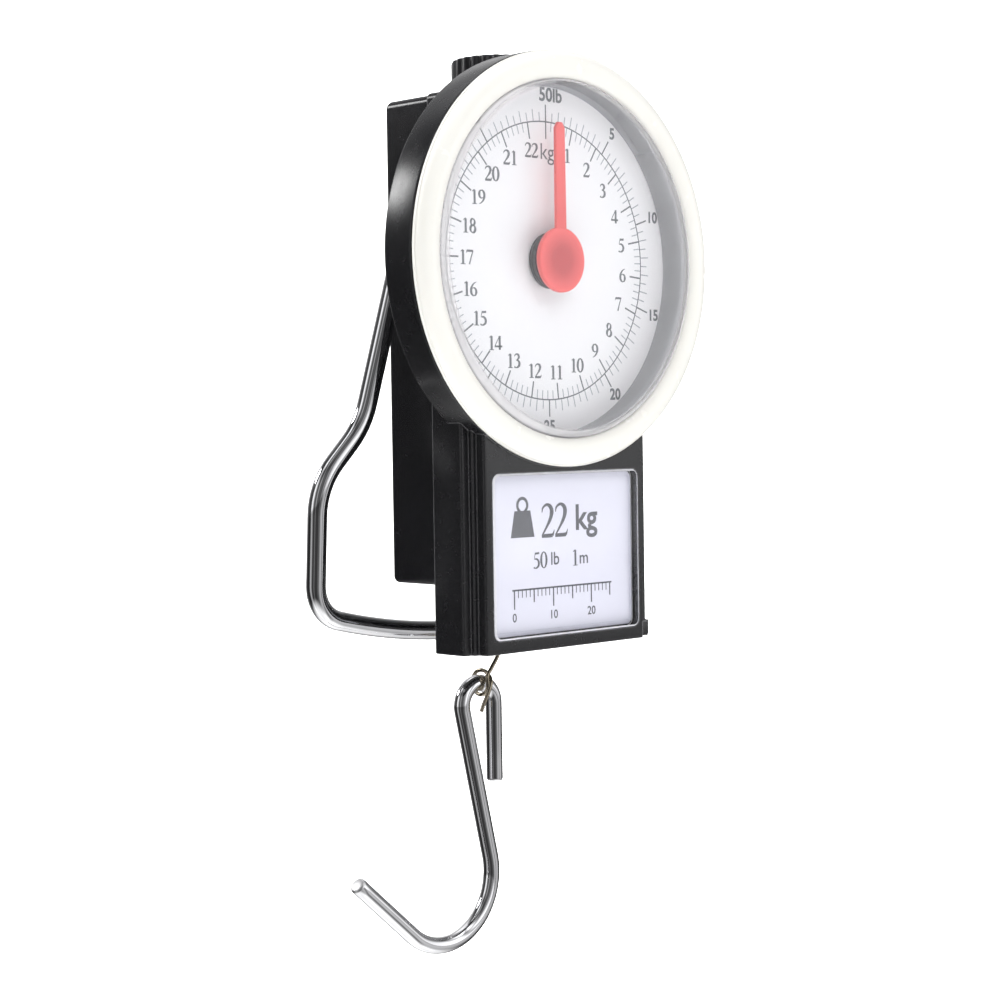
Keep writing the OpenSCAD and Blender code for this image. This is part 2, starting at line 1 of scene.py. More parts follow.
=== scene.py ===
import bpy, bmesh, math
from math import pi, sin, cos, tan, atan2, acos, asin, radians, sqrt, hypot
from mathutils import Vector, Matrix


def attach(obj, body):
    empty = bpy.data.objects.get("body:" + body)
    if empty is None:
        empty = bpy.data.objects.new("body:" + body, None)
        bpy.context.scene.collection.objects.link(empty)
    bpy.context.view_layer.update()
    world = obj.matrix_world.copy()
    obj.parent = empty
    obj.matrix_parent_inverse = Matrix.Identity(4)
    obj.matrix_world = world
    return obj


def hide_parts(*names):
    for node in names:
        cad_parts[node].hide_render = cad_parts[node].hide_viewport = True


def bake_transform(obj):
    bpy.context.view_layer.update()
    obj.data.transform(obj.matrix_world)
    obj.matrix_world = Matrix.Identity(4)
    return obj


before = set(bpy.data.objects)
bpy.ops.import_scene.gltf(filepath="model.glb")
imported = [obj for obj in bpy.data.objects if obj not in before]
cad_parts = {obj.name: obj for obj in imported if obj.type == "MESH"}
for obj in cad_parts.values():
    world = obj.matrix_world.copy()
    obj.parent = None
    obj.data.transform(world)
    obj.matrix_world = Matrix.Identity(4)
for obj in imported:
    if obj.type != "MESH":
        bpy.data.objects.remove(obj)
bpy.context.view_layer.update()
MM = 0.001
SC = bpy.context.scene

# ---------------------------------------------------------------- dimensions (mm, CAD frame)
Y_PART, Y_DRUM, Y_RIM = -13.0, -16.7, -23.8
Y_FLOOR, Y_DIAL, Y_FACE = -18.6, -19.1, -23.4
Y_STEP1, Y_STEP2, Y_MECH, PIVOT_Z = -20.45, -21.4, -6.6, 1.5
BASE_Z, TOP_Z = -70.4, 29.1
EYE = Vector((-4.4, -4.3, -78.0))

# ---------------------------------------------------------------- node material helper
class NM:
    def __init__(self, name):
        self.m = bpy.data.materials.new(name)
        self.m.use_nodes = True
        self.t = self.m.node_tree
        self.t.nodes.clear()
        self.out = self.n("ShaderNodeOutputMaterial")
        self.b = self.n("ShaderNodeBsdfPrincipled")
        self.l(self.b, 0, self.out, 0)
        self.tc = self.n("ShaderNodeTexCoord")
        self.pos = self.tc.outputs["Object"]
    def n(self, kind, **kw):
        x = self.t.nodes.new(kind)
        for k, v in kw.items():
            if k in x.inputs.keys() if hasattr(x.inputs, "keys") else False:
                x.inputs[k].default_value = v
            else:
                setattr(x, k, v)
        return x
    def l(self, a, ai, b, bi):
        o = a.outputs[ai] if not hasattr(a, "is_output") else a
        self.t.links.new(o, b.inputs[bi])
    def put(self, **kw):
        for k, v in kw.items():
            self.b.inputs[k.replace("_", " ")].default_value = v
        return self
    def vec(self, scale):
        m = self.n("ShaderNodeMapping")
        m.inputs["Scale"].default_value = scale if hasattr(scale, "__len__") else (scale,) * 3
        self.t.links.new(self.pos, m.inputs["Vector"])
        return m.outputs[0]
    def noise(self, scale, detail=4, rough=0.55, stretch=(1, 1, 1), dist=0.0):
        x = self.n("ShaderNodeTexNoise")
        x.inputs["Scale"].default_value = scale
        x.inputs["Detail"].default_value = detail
        x.inputs["Roughness"].default_value = rough
        x.inputs["Distortion"].default_value = dist
        self.t.links.new(self.vec(stretch), x.inputs["Vector"])
        return x.outputs["Fac"]
    def ramp(self, fac, stops):
        x = self.n("ShaderNodeValToRGB")
        e = x.color_ramp.elements
        while len(e) < len(stops):
            e.new(0.5)
        for el, (p, c) in zip(e, stops):
            el.position = p
            el.color = c if len(c) == 4 else (*c, 1)
        self.t.links.new(fac, x.inputs["Fac"])
        return x.outputs["Color"]
    def rng(self, fac, a, b, lo=0.0, hi=1.0):
        x = self.n("ShaderNodeMapRange")
        x.inputs["From Min"].default_value = lo
        x.inputs["From Max"].default_value = hi
        x.inputs["To Min"].default_value = a
        x.inputs["To Max"].default_value = b
        self.t.links.new(fac, x.inputs["Value"])
        return x.outputs[0]
    def math(self, op, a, b=None, c=None):
        x = self.n("ShaderNodeMath")
        x.operation = op
        for i, v in enumerate((a, b, c)):
            if v is None:
                continue
            if isinstance(v, (int, float)):
                x.inputs[i].default_value = v
            else:
                self.t.links.new(v, x.inputs[i])
        return x.outputs[0]
    def mix(self, fac, a, b):
        x = self.n("ShaderNodeMix")
        x.data_type = "RGBA"
        for sock, v in ((0, fac), (6, a), (7, b)):
            if isinstance(v, (int, float)):
                x.inputs[sock].default_value = v
            elif hasattr(v, "is_output"):
                self.t.links.new(v, x.inputs[sock])
            else:
                x.inputs[sock].default_value = v if len(v) == 4 else (*v, 1)
        return x.outputs[2]
    def bump(self, heights, dist=0.00005, strength=1.0):
        prev = None
        for h, d in heights:
            x = self.n("ShaderNodeBump")
            x.inputs["Strength"].default_value = strength
            x.inputs["Distance"].default_value = d
            self.t.links.new(h, x.inputs["Height"])
            if prev is not None:
                self.t.links.new(prev, x.inputs["Normal"])
            prev = x.outputs[0]
        self.t.links.new(prev, self.b.inputs["Normal"])
    def edge(self, radius=0.0003):
        """1 on edges, 0 on flats: the mask for the painted edge highlight."""
        g = self.n("ShaderNodeNewGeometry")
        bv = self.n("ShaderNodeBevel")
        bv.samples = 6
        bv.inputs["Radius"].default_value = radius
        d = self.n("ShaderNodeVectorMath")
        d.operation = "DOT_PRODUCT"
        self.t.links.new(bv.outputs[0], d.inputs[0])
        self.t.links.new(g.outputs["Normal"], d.inputs[1])
        return self.rng(d.outputs["Value"], 1.0, 0.0, 0.90, 0.999)
    def set(self, sock, v):
        self.t.links.new(v, self.b.inputs[sock])


def black_plastic(name, base=(0.012, 0.012, 0.0135), rough=0.33, grain=1.0, edge_highlight=0.0):
    k = NM(name)
    n1 = k.noise(420, 5, 0.6)
    n3 = k.noise(60, 3, 0.5)
    col = k.mix(n3, (*[c * 0.8 for c in base], 1), (*[c * 1.35 for c in base], 1))
    # painted highlight: the edges are made lighter than the flats, standing in for the light lines the rounded edges
    # catch
    if edge_highlight:
        col = k.mix(k.edge(0.00035), col, (edge_highlight, edge_highlight, edge_highlight * 1.05, 1))
    k.set("Base Color", col)
    k.set("Roughness", k.rng(n1, rough - 0.05, rough + 0.07))
    k.bump([(n3, 0.00003 * grain), (n1, 0.0000012 * grain)])
    k.put(IOR=1.52)
    k.b.inputs["Specular IOR Level"].default_value = 0.55
    return k.m


def white_plastic(name, base=(0.682, 0.677, 0.648)):
    k = NM(name)
    n1 = k.noise(300, 4, 0.55)
    n2 = k.noise(40, 3, 0.5)
    k.set("Base Color", k.mix(n2, (base[0] * 0.975, base[1] * 0.97, base[2] * 0.955, 1), (*base, 1)))
    k.set("Roughness", k.rng(n1, 0.22, 0.30))
    k.bump([(n2, 0.00004), (n1, 0.000006)])
    k.put(IOR=1.5)
    k.b.inputs["Subsurface Weight"].default_value = 0.12
    k.b.inputs["Subsurface Radius"].default_value = (0.6, 0.5, 0.4)
    k.b.inputs["Subsurface Scale"].default_value = 0.001
    k.b.inputs["Coat Weight"].default_value = 0.15
    k.b.inputs["Coat Roughness"].default_value = 0.12
    return k.m


def metal(name, base, rough, streak=(1, 1, 1), var=0.06, bump=0.000004, scale=900, aniso=0.0):
    k = NM(name)
    n1 = k.noise(scale, 5, 0.6, streak)
    n2 = k.noise(130, 4, 0.6)
    k.set("Base Color", k.mix(n2, (*[c * 0.86 for c in base], 1), (*[min(1, c * 1.06) for c in base], 1)))
    k.set("Roughness", k.rng(k.math("MULTIPLY", n1, n2), max(0.01, rough - var), rough + var * 2.2, 0.1, 0.45))
    k.bump([(n2, bump * 2), (n1, bump)])
    k.put(Metallic=1.0)
    k.b.inputs["Anisotropic"].default_value = aniso
    return k.m


def chrome(name):
    k = NM(name)
    n1 = k.noise(1500, 4, 0.6, (1, 1, 0.15))
    n2 = k.noise(180, 4, 0.6)
    k.set("Base Color", k.mix(n2, (0.74, 0.74, 0.76, 1), (0.88, 0.88, 0.89, 1)))
    k.set("Roughness", k.rng(n2, 0.05, 0.11))
    k.bump([(n2, 0.000010), (n1, 0.0000004)])
    k.put(Metallic=1.0)
    return k.m


def clear_plastic(name, tint=(0.96, 0.97, 0.98), base_alpha=0.06, edge_alpha=0.55, rough=0.04):
    """Clear moulded cover: see-through, with reflections, and denser where seen edge on."""
    k = NM(name)
    k.t.nodes.remove(k.b)
    tr = k.n("ShaderNodeBsdfTransparent")
    tr.inputs["Color"].default_value = (*tint, 1)
    gl = k.n("ShaderNodeBsdfGlossy")
    gl.inputs["Roughness"].default_value = rough
    fr = k.n("ShaderNodeFresnel")
    fr.inputs["IOR"].default_value = 1.49
    nz = k.n("ShaderNodeTexNoise")
    nz.inputs["Scale"].default_value = 90
    k.t.links.new(k.pos, nz.inputs["Vector"])
    bp = k.n("ShaderNodeBump")
    bp.inputs["Distance"].default_value = 0.00002
    k.t.links.new(nz.outputs["Fac"], bp.inputs["Height"])
    k.t.links.new(bp.outputs[0], gl.inputs["Normal"])
    k.t.links.new(bp.outputs[0], fr.inputs["Normal"])
    geo = k.n("ShaderNodeNewGeometry")
    front = k.math("SUBTRACT", 1.0, geo.outputs["Backfacing"])
    fac = k.math("MULTIPLY", k.math("MINIMUM", fr.outputs[0], 0.6), k.math("MULTIPLY_ADD", front, 0.92, 0.08))
    mx = k.n("ShaderNodeMixShader")
    k.t.links.new(fac, mx.inputs[0])
    k.t.links.new(tr.outputs[0], mx.inputs[1])
    k.t.links.new(gl.outputs[0], mx.inputs[2])
    k.t.links.new(mx.outputs[0], k.out.inputs[0])
    return k.m


def clear_wall(name, white=(0.80, 0.80, 0.82), haze_and_reflection=0.42, round_dial=False):
    """Thick moulded wall of a clear part: hazy and whitish, the white veil partly its haze and partly painted
    reflection, with soft streaks round it.
    """
    k = NM(name)
    k.t.nodes.remove(k.b)
    tr = k.n("ShaderNodeBsdfTransparent")
    tr.inputs["Color"].default_value = (0.97, 0.97, 0.98, 1)
    df = k.n("ShaderNodeBsdfDiffuse")
    df.inputs["Color"].default_value = (*white, 1)
    tl = k.n("ShaderNodeBsdfTranslucent")
    tl.inputs["Color"].default_value = (*white, 1)
    gl = k.n("ShaderNodeBsdfGlossy")
    gl.inputs["Roughness"].default_value = 0.08
    m1 = k.n("ShaderNodeMixShader")
    m1.inputs[0].default_value = 0.5
    k.t.links.new(df.outputs[0], m1.inputs[1])
    k.t.links.new(tl.outputs[0], m1.inputs[2])
    nz = k.noise(160, 3, 0.5, (1, 0.3, 1))
    m2 = k.n("ShaderNodeMixShader")
    # the white veil over see-through: partly the wall's haze, partly painted reflection
    fac = k.rng(nz, haze_and_reflection * 0.9, haze_and_reflection * 1.1)
    if round_dial:
        sp = k.n("ShaderNodeSeparateXYZ")
        k.t.links.new(k.pos, sp.inputs[0])
        x, y, z = sp.outputs["X"], sp.outputs["Y"], sp.outputs["Z"]
        r = k.math("SQRT", k.math("ADD", k.math("MULTIPLY", x, x), k.math("MULTIPLY", z, z)))
        up = k.math("MULTIPLY", k.math("MAXIMUM", z, 0.0), 0.025)
        q = k.math("SUBTRACT", r, up)
        inner = k.rng(q, 0.0, 1.0, 0.0307, 0.0311)
        # painted shade: a dark line round the shoulder's crease and a grey shadow line beside the bezel seat, the seat
        # line fading towards the right
        crease_shade = k.rng(k.math("ABSOLUTE", k.math("SUBTRACT", q, 0.03098)), 1.0, 0.0, 0.0, 0.00016)
        shoulder = k.math("LESS_THAN", y, -0.02465)
        seat_shadow = k.math("MULTIPLY", k.rng(r, 0.0, 1.0, 0.03205, 0.03225), shoulder)
        seat_shadow = k.math("MULTIPLY", seat_shadow, k.rng(x, 1.0, 0.35, 0.0, 0.024))
        crease_shade = k.math("MULTIPLY", crease_shade, shoulder)
        fac = k.math("MAXIMUM", k.math("MULTIPLY", fac, inner), k.math("MULTIPLY", crease_shade, 0.45))
        fac = k.math("MAXIMUM", fac, k.math("MULTIPLY", seat_shadow, 0.7))
        # both painted shade lines darken the wall colour towards grey
        dark = k.math("MAXIMUM", k.math("MULTIPLY", crease_shade, 0.55), k.math("MULTIPLY", seat_shadow, 0.85))
        col = k.mix(dark, (*white, 1), (0.20, 0.195, 0.20, 1))
        k.t.links.new(col, df.inputs["Color"])
        k.t.links.new(col, tl.inputs["Color"])
    k.t.links.new(fac, m2.inputs[0])
    k.t.links.new(tr.outputs[0], m2.inputs[1])
    k.t.links.new(m1.outputs[0], m2.inputs[2])
    m3 = k.n("ShaderNodeMixShader")
    m3.inputs[0].default_value = 0.08
    k.t.links.new(m2.outputs[0], m3.inputs[1])
    k.t.links.new(gl.outputs[0], m3.inputs[2])
    k.t.links.new(m3.outputs[0], k.out.inputs[0])
    return k.m


def printed(name, base, rough=0.5, fibre=False):
    k = NM(name)
    n1 = k.noise(900 if fibre else 2200, 5, 0.65)
    n2 = k.noise(70, 3, 0.5)
    k.set("Base Color", k.mix(n2, (*[c * 0.97 for c in base], 1), (*base, 1)))
    k.set("Roughness", k.rng(n1, rough - 0.06, rough + 0.06))
    k.bump([(n1, 0.00001 if fibre else 0.000003)])
    return k.m


def ink(name, base):
    k = NM(name)
    n1 = k.noise(3000, 4, 0.7)
    k.set("Base Color", k.mix(n1, (*[c * 0.8 for c in base], 1), (*[c * 1.5 + 0.02 for c in base], 1)))
    k.set("Roughness", k.rng(n1, 0.45, 0.65))
    return k.m


def red_plastic(name):
    k = NM(name)
    n1 = k.noise(500, 4, 0.5)
    n2 = k.noise(120, 3, 0.5)
    # painted reflection: the cap is painted darker and duller towards its centre than at its rim, standing in for the
    # shade reflected in it
    sp = k.n("ShaderNodeSeparateXYZ")
    k.t.links.new(k.pos, sp.inputs[0])
    r2 = k.math("ADD", k.math("MULTIPLY", sp.outputs["X"], sp.outputs["X"]), k.math("MULTIPLY", sp.outputs["Z"], sp.outputs["Z"]))
    r = k.rng(k.math("SQRT", r2), 0.0, 1.0, 0.0022, 0.0056)
    rim = k.mix(n2, (0.80, 0.128, 0.122, 1), (0.86, 0.145, 0.138, 1))
    k.set("Base Color", k.mix(r, (0.52, 0.070, 0.072, 1), rim))
    k.set("Roughness", k.rng(n1, 0.26, 0.36))
    k.bump([(n1, 0.000004)])
    k.b.inputs["Subsurface Weight"].default_value = 0.15
    k.b.inputs["Subsurface Radius"].default_value = (1.0, 0.25, 0.2)
    k.b.inputs["Subsurface Scale"].default_value = 0.001
    # painted glow: a faint red emission lightens the pointer, which is no lamp
    k.b.inputs["Emission Color"].default_value = (1.0, 0.14, 0.13, 1)
    k.b.inputs["Emission Strength"].default_value = 0.03
    return k.m


def tape_mat(name):
    """Yellow tape with a line each millimetre, longer each half and whole centimetre."""
    k = NM(name)
    g = k.n("ShaderNodeNewGeometry")
    sp = k.n("ShaderNodeSeparateXYZ")
    k.t.links.new(g.outputs["Position"], sp.inputs[0])
    x, y = sp.outputs["X"], sp.outputs["Y"]
    def lines(period, half, y_from):
        f = k.math("PINGPONG", k.math("ADD", x, 10.0 + 0.5 * period), 0.5 * period)
        on = k.math("GREATER_THAN", f, 0.5 * period - half)
        side = k.math("LESS_THAN", y, y_from)
        return k.math("MULTIPLY", on, side)
    marks = k.math("MAXIMUM", lines(0.001, 0.00008, -0.0183), k.math("MAXIMUM", lines(0.005, 0.0001, -0.0176), lines(0.01, 0.00012, -0.0166)))
    n2 = k.noise(100, 3, 0.5)
    base = k.mix(n2, (0.86, 0.74, 0.20, 1), (0.93, 0.82, 0.28, 1))
    k.set("Base Color", k.mix(marks, base, (0.02, 0.02, 0.02, 1)))
    k.set("Roughness", k.rng(n2, 0.3, 0.42))
    k.b.inputs["Coat Weight"].default_value = 0.4
    return k.m


# the last value is the strength of the painted edge highlight on the case edges
M_CASE = black_plastic("case_black", (0.006, 0.006, 0.007), 0.25, edge_highlight=0.10)
M_REAR = black_plastic("case_black_rear", (0.0045, 0.0045, 0.0055), 0.24, edge_highlight=0.04)
M_KNOB = black_plastic("knob_black", (0.007, 0.007, 0.008), 0.30)
M_BEZEL = white_plastic("bezel_white")
M_LENS = clear_plastic("clear_lens")
M_WINDOW = clear_plastic("clear_window", (0.98, 0.985, 0.995), rough=0.06)
M_LWALL = clear_wall("clear_lens_wall", (0.88, 0.88, 0.89), 0.42, True)
M_LEDGE = clear_wall("clear_lens_edge", (0.95, 0.95, 0.96), 0.85)
M_WWALL = clear_wall("clear_window_rim", (0.90, 0.90, 0.93), 0.85)
M_DIAL = printed("dial_face", (0.905, 0.872, 0.868), 0.42)
M_CARD = printed("label_card", (0.725, 0.715, 0.79), 0.6, True)
M_INK = ink("dial_ink", (0.13, 0.13, 0.138))
M_INKL = ink("dial_ink_light", (0.34, 0.34, 0.36))
M_INK2 = ink("label_ink", (0.075, 0.075, 0.085))
M_RED = red_plastic("pointer_red")
M_HUB = black_plastic("hub_dark", (0.055, 0.05, 0.055), 0.42)
M_CHROME = chrome("chrome_wire")
M_CUT = metal("cut_wire_end", (0.92, 0.92, 0.93), 0.35, var=0.05, scale=3000)
M_LINK = metal("link_wire_steel", (0.50, 0.44, 0.34), 0.24, var=0.08)
M_ZINC = metal("zinc_screw", (0.62, 0.63, 0.66), 0.28, var=0.08)
M_PRESS = metal("pressed_steel", (0.55, 0.56, 0.58), 0.32, (1, 1, 0.05), 0.08, scale=2500)
M_SPRING = metal("spring_steel", (0.52, 0.53, 0.56), 0.2, var=0.06)
M_BLUED = metal("blued_steel", (0.16, 0.19, 0.28), 0.25, var=0.06)
M_BRASS = metal("brass", (0.72, 0.52, 0.22), 0.22, var=0.07, scale=1800)
M_ACETAL = printed("acetal", (0.80, 0.79, 0.74), 0.4)
M_TAPE = tape_mat("tape_yellow")

# ---------------------------------------------------------------- mesh helpers
def link(o):
    SC.collection.objects.link(o)
    return o


def sharp(bm, ang=32):
    lim = radians(ang)
    for f in bm.faces:
        f.smooth = True
    for e in bm.edges:
        if len(e.link_faces) == 2:
            e.smooth = e.calc_face_angle(0) < lim
        else:
            e.smooth = True


def from_bm(name, bm, mats, ang=32):
    bmesh.ops.recalc_face_normals(bm, faces=bm.faces)
    sharp(bm, ang)
    me = bpy.data.meshes.new(name)
    bm.to_mesh(me)
    bm.free()
    for m in (mats if isinstance(mats, (list, tuple)) else [mats]):
        me.materials.append(m)
    return link(bpy.data.objects.new(name, me))


def bm_of(verts, faces):
    bm = bmesh.new()
    vs = [bm.verts.new((x * MM, y * MM, z * MM)) for x, y, z in verts]
    bm.verts.ensure_lookup_table()
    for f in faces:
        try:
            bm.faces.new([vs[i] for i in f])
        except ValueError:
            pass
    return bm


def mesh(name, verts, faces, mats, ang=32):
    return from_bm(name, bm_of(verts, faces), mats, ang)


def revolve(name, prof, mats, n=160, axis="Y", c=(0, 0, 0), ang=32, closed=True):
    """Closed profile of (radius, along) turned about an axis through c. A radius of 0 makes a pole."""
    verts, rows = [], []
    for r, a in prof:
        if r < 1e-6:
            p = {"Y": (0, a, 0), "Z": (0, 0, a), "X": (a, 0, 0)}[axis]
            rows.append([len(verts)] * n)
            verts.append(tuple(Vector(p) + Vector(c)))
        else:
            row = []
            for i in range(n):
                t = 2 * pi * i / n
                p = {"Y": (r * cos(t), a, r * sin(t)), "Z": (r * cos(t), r * sin(t), a), "X": (a, r * cos(t), r * sin(t))}[axis]
                row.append(len(verts))
                verts.append(tuple(Vector(p) + Vector(c)))
            rows.append(row)
    faces = []
    m = len(rows)
    for k in range(m if closed else m - 1):
        a, b = rows[k], rows[(k + 1) % m]
        for i in range(n):
            j = (i + 1) % n
            f = []
            for q in (a[i], a[j], b[j], b[i]):
                if q not in f:
                    f.append(q)
            if len(f) > 2:
                faces.append(f)
    return mesh(name, verts, faces, mats, ang)


def arc(cx, cy, r, a0, a1, n=8):
    return [(cx + r * cos(radians(a0 + (a1 - a0) * i / n)), cy + r * sin(radians(a0 + (a1 - a0) * i / n))) for i in range(n + 1)]


def fillet(pts, r, n=6, closed=True):
    """Rounds the corners of a 2D outline. r is one radius or one per corner."""
    out = []
    m = len(pts)
    rs = r if hasattr(r, "__len__") else [r] * m
    for i, p in enumerate(pts):
        p = Vector(p)
        if not closed and i in (0, m - 1):
            out.append(tuple(p))
            continue
        a, b = Vector(pts[i - 1]) - p, Vector(pts[(i + 1) % m]) - p
        la, lb = a.length, b.length
        a.normalize(); b.normalize()
        th = acos(max(-1, min(1, a.dot(b))))
        if rs[i] <= 0 or th > pi - 0.01:
            out.append(tuple(p))
            continue
        t = min(rs[i] / tan(th / 2), 0.49 * min(la, lb))
        rr = t * tan(th / 2)
        bis = (a + b).normalized()
        c = p + bis * (rr / sin(th / 2))
        s, e = p + a * t, p + b * t
        a0 = atan2(s.y - c.y, s.x - c.x)
        a1 = atan2(e.y - c.y, e.x - c.x)
        d = (a1 - a0 + pi) % (2 * pi) - pi
        for k in range(n + 1):
            w = a0 + d * k / n
            out.append((c.x + rr * cos(w), c.y + rr * sin(w)))
    return out


def offset(pts, d):
    """Moves a closed outline inwards by d, by mitring each corner."""
    area = sum(pts[i - 1][0] * pts[i][1] - pts[i][0] * pts[i - 1][1] for i in range(len(pts)))
    s = 1 if area > 0 else -1
    out = []
    m = len(pts)
    for i in range(m):
        p, a, b = Vector(pts[i]), Vector(pts[i - 1]), Vector(pts[(i + 1) % m])
        u, v = (p - a), (b - p)
        if u.length < 1e-9 or v.length < 1e-9:
            out.append(tuple(p)); continue
        u.normalize(); v.normalize()
        n1, n2 = Vector((-u.y, u.x)) * s, Vector((-v.y, v.x)) * s
        n = n1 + n2
        if n.length < 1e-6:
            out.append(tuple(p)); continue
        n.normalize()
        out.append(tuple(p + n * d / max(0.3, n.dot(n1))))
    return out


def loft(name, sections, mats, ang=32, cap=True):
    """Sections are equal-length closed loops of 3D points."""
    n = len(sections[0])
    verts = [p for s in sections for p in s]
    faces = []
    for k in range(len(sections) - 1):
        for i in range(n):
            j = (i + 1) % n
            faces.append((k * n + i, k * n + j, (k + 1) * n + j, (k + 1) * n + i))
    if cap:
        faces.append(tuple(range(n)))
        faces.append(tuple((len(sections) - 1) * n + i for i in range(n)))
    return mesh(name, verts, faces, mats, ang)


def plate(name, outline, lo, hi, mats, place, r=0.2, rn=4, r_lo=None, ang=32):
    """A prism of a 2D outline between two levels, its rims rounded by r. place(x, y, level) gives the 3D point."""
    r_lo = r if r_lo is None else r_lo
    secs = []
    if r_lo > 0:
        for i in range(rn):
            t = radians(90 * i / rn)
            secs.append((r_lo * (1 - sin(t)), lo + r_lo * (1 - cos(t))))
    secs.append((0, lo + r_lo))
    if r > 0:
        secs.append((0, hi - r))
        for i in range(1, rn + 1):
            t = radians(90 * i / rn)
            secs.append((r * (1 - cos(t)), hi - r + r * sin(t)))
    else:
        secs.append((0, hi))
    S = []
    for d, lv in secs:
        o = offset(outline, d) if d > 1e-6 else outline
        S.append([place(x, y, lv) for x, y in o])
    return loft(name, S, mats, ang)


XZ = lambda x, z, lv: (x, lv, z)       # outline in X-Z, level is Y
XY = lambda x, y, lv: (x, y, lv)       # outline in X-Y, level is Z
YZ = lambda y, z, lv: (lv, y, z)


def rrect(x0, y0, x1, y1, r, n=6):
    return fillet([(x0, y0), (x1, y0), (x1, y1), (x0, y1)], r, n)


def boolean(o, cutter, op="DIFFERENCE", keep=False):
    m = o.modifiers.new("b", "BOOLEAN")
    m.operation = op
    m.solver = "EXACT"
    m.object = cutter
    bpy.context.view_layer.update()
    dg = bpy.context.evaluated_depsgraph_get()
    me = bpy.data.meshes.new_from_object(o.evaluated_get(dg))
    o.modifiers.clear()
    old = o.data
    mats = list(old.materials)
    o.data = me
    while len(me.materials) > max(1, len(mats)):
        me.materials.pop()
    bpy.data.meshes.remove(old)
    if not keep:
        bpy.data.objects.remove(cutter)
    return o


def tidy(o, ang=32):
    bm = bmesh.new()
    bm.from_mesh(o.data)
    bmesh.ops.remove_doubles(bm, verts=bm.verts, dist=2e-7)
    bmesh.ops.dissolve_degenerate(bm, dist=2e-7, edges=bm.edges)
    loose = [v for v in bm.verts if not v.link_faces]
    bmesh.ops.delete(bm, geom=loose, context="VERTS")
    sharp(bm, ang)
    bm.to_mesh(o.data)
    bm.free()
    for p in o.data.polygons:
        p.material_index = min(p.material_index, len(o.data.materials) - 1)
    return o


def cyl(r, a, b, axis="Y", c=(0, 0, 0), n=48, name="tmp"):
    return revolve(name, [(0, a), (r, a), (r, b), (0, b)], M_CASE, n, axis, c, closed=False)


def boxm(lo, hi, name="tmp"):
    x0, y0, z0 = lo
    x1, y1, z1 = hi
    v = [(x0, y0, z0), (x1, y0, z0), (x1, y1, z0), (x0, y1, z0), (x0, y0, z1), (x1, y0, z1), (x1, y1, z1), (x0, y1, z1)]
    f = [(0, 1, 2, 3), (4, 5, 6, 7), (0, 1, 5, 4), (1, 2, 6, 5), (2, 3, 7, 6), (3, 0, 4, 7)]
    return mesh(name, v, f, M_CASE)


def join(name, objs):
    """Joins finished objects into one, keeping materials."""
    bm = bmesh.new()
    mats = []
    for o in objs:
        for m in o.data.materials:
            if m not in mats:
                mats.append(m)
    for o in objs:
        tmp = bmesh.new()
        tmp.from_mesh(o.data)
        idx = [mats.index(m) for m in o.data.materials]
        for f in tmp.faces:
            f.material_index = idx[f.material_index] if idx else 0
        me = bpy.data.meshes.new("t")
        tmp.to_mesh(me)
        tmp.free()
        bm.from_mesh(me)
        bpy.data.meshes.remove(me)
    me = bpy.data.meshes.new(name)
    bm.to_mesh(me)
    bm.free()
    for m in mats:
        me.materials.append(m)
    for o in objs:
        bpy.data.objects.remove(o)
    return link(bpy.data.objects.new(name, me))


def frames(pts):
    """Tangents and a parallel-transported normal along a path."""
    P = [Vector(p) for p in pts]
    T = []
    for i in range(len(P)):
        a = P[max(0, i - 1)]
        b = P[min(len(P) - 1, i + 1)]
        T.append((b - a).normalized())
    ref = Vector((0, 1, 0)) if abs(T[0].y) < 0.9 else Vector((1, 0, 0))
    N = [(ref - T[0] * ref.dot(T[0])).normalized()]
    for i in range(1, len(P)):
        v = N[-1] - T[i] * N[-1].dot(T[i])
        N.append(v.normalized())
    return P, T, N


def tube(name, pts, r, mats, n=28, chamfer=0.0, ang=40, end_mat=None):
    """A round wire along a path, its two ends cut square with a small rounded chamfer."""
    P, T, N = frames(pts)
    rings = []
    def ring(p, t, nn, rr):
        b = t.cross(nn)
        return [tuple(p + nn * rr * cos(2 * pi * i / n) + b * rr * sin(2 * pi * i / n)) for i in range(n)]
    c = chamfer
    if c > 0:
        for k in range(3):
            a = radians(90 * k / 3)
            rings.append(ring(P[0] - T[0] * 0 + T[0] * c * (1 - cos(a)) , T[0], N[0], r - c * (1 - sin(a))))
    s = P[0] + T[0] * c
    for i in range(len(P)):
        p = P[i]
        if c > 0 and i == 0:
            p = s
        if c > 0 and i == len(P) - 1:
            p = P[i] - T[i] * c
        rings.append(ring(p, T[i], N[i], r))
    if c > 0:
        for k in (2, 1, 0):
            a = radians(90 * k / 3)
            rings.append(ring(P[-1] - T[-1] * c * (1 - cos(a)), T[-1], N[-1], r - c * (1 - sin(a))))
    verts = [v for q in rings for v in q]
    faces = []
    m = len(rings)
    for k in range(m - 1):
        for i in range(n):
            j = (i + 1) % n
            faces.append((k * n + i, k * n + j, (k + 1) * n + j, (k + 1) * n + i))
    faces.append(tuple(range(n)))
    faces.append(tuple((m - 1) * n + i for i in range(n)))
    o = mesh(name, verts, faces, mats if end_mat is None else [mats, end_mat], ang)
    if end_mat is not None:
        for p in o.data.polygons:
            zone = (p.center - Vector([q * MM for q in P[0]])).length < (r + c) * MM * 1.02 and abs((p.center / MM - P[0]).dot(T[0])) < c or \
                (p.center / MM - P[-1]).length < (r + c) * 1.02 and abs((p.center / MM - P[-1]).dot(T[-1])) < c
            if len(p.vertices) > 6 or zone:
                p.material_index = 1
    return o


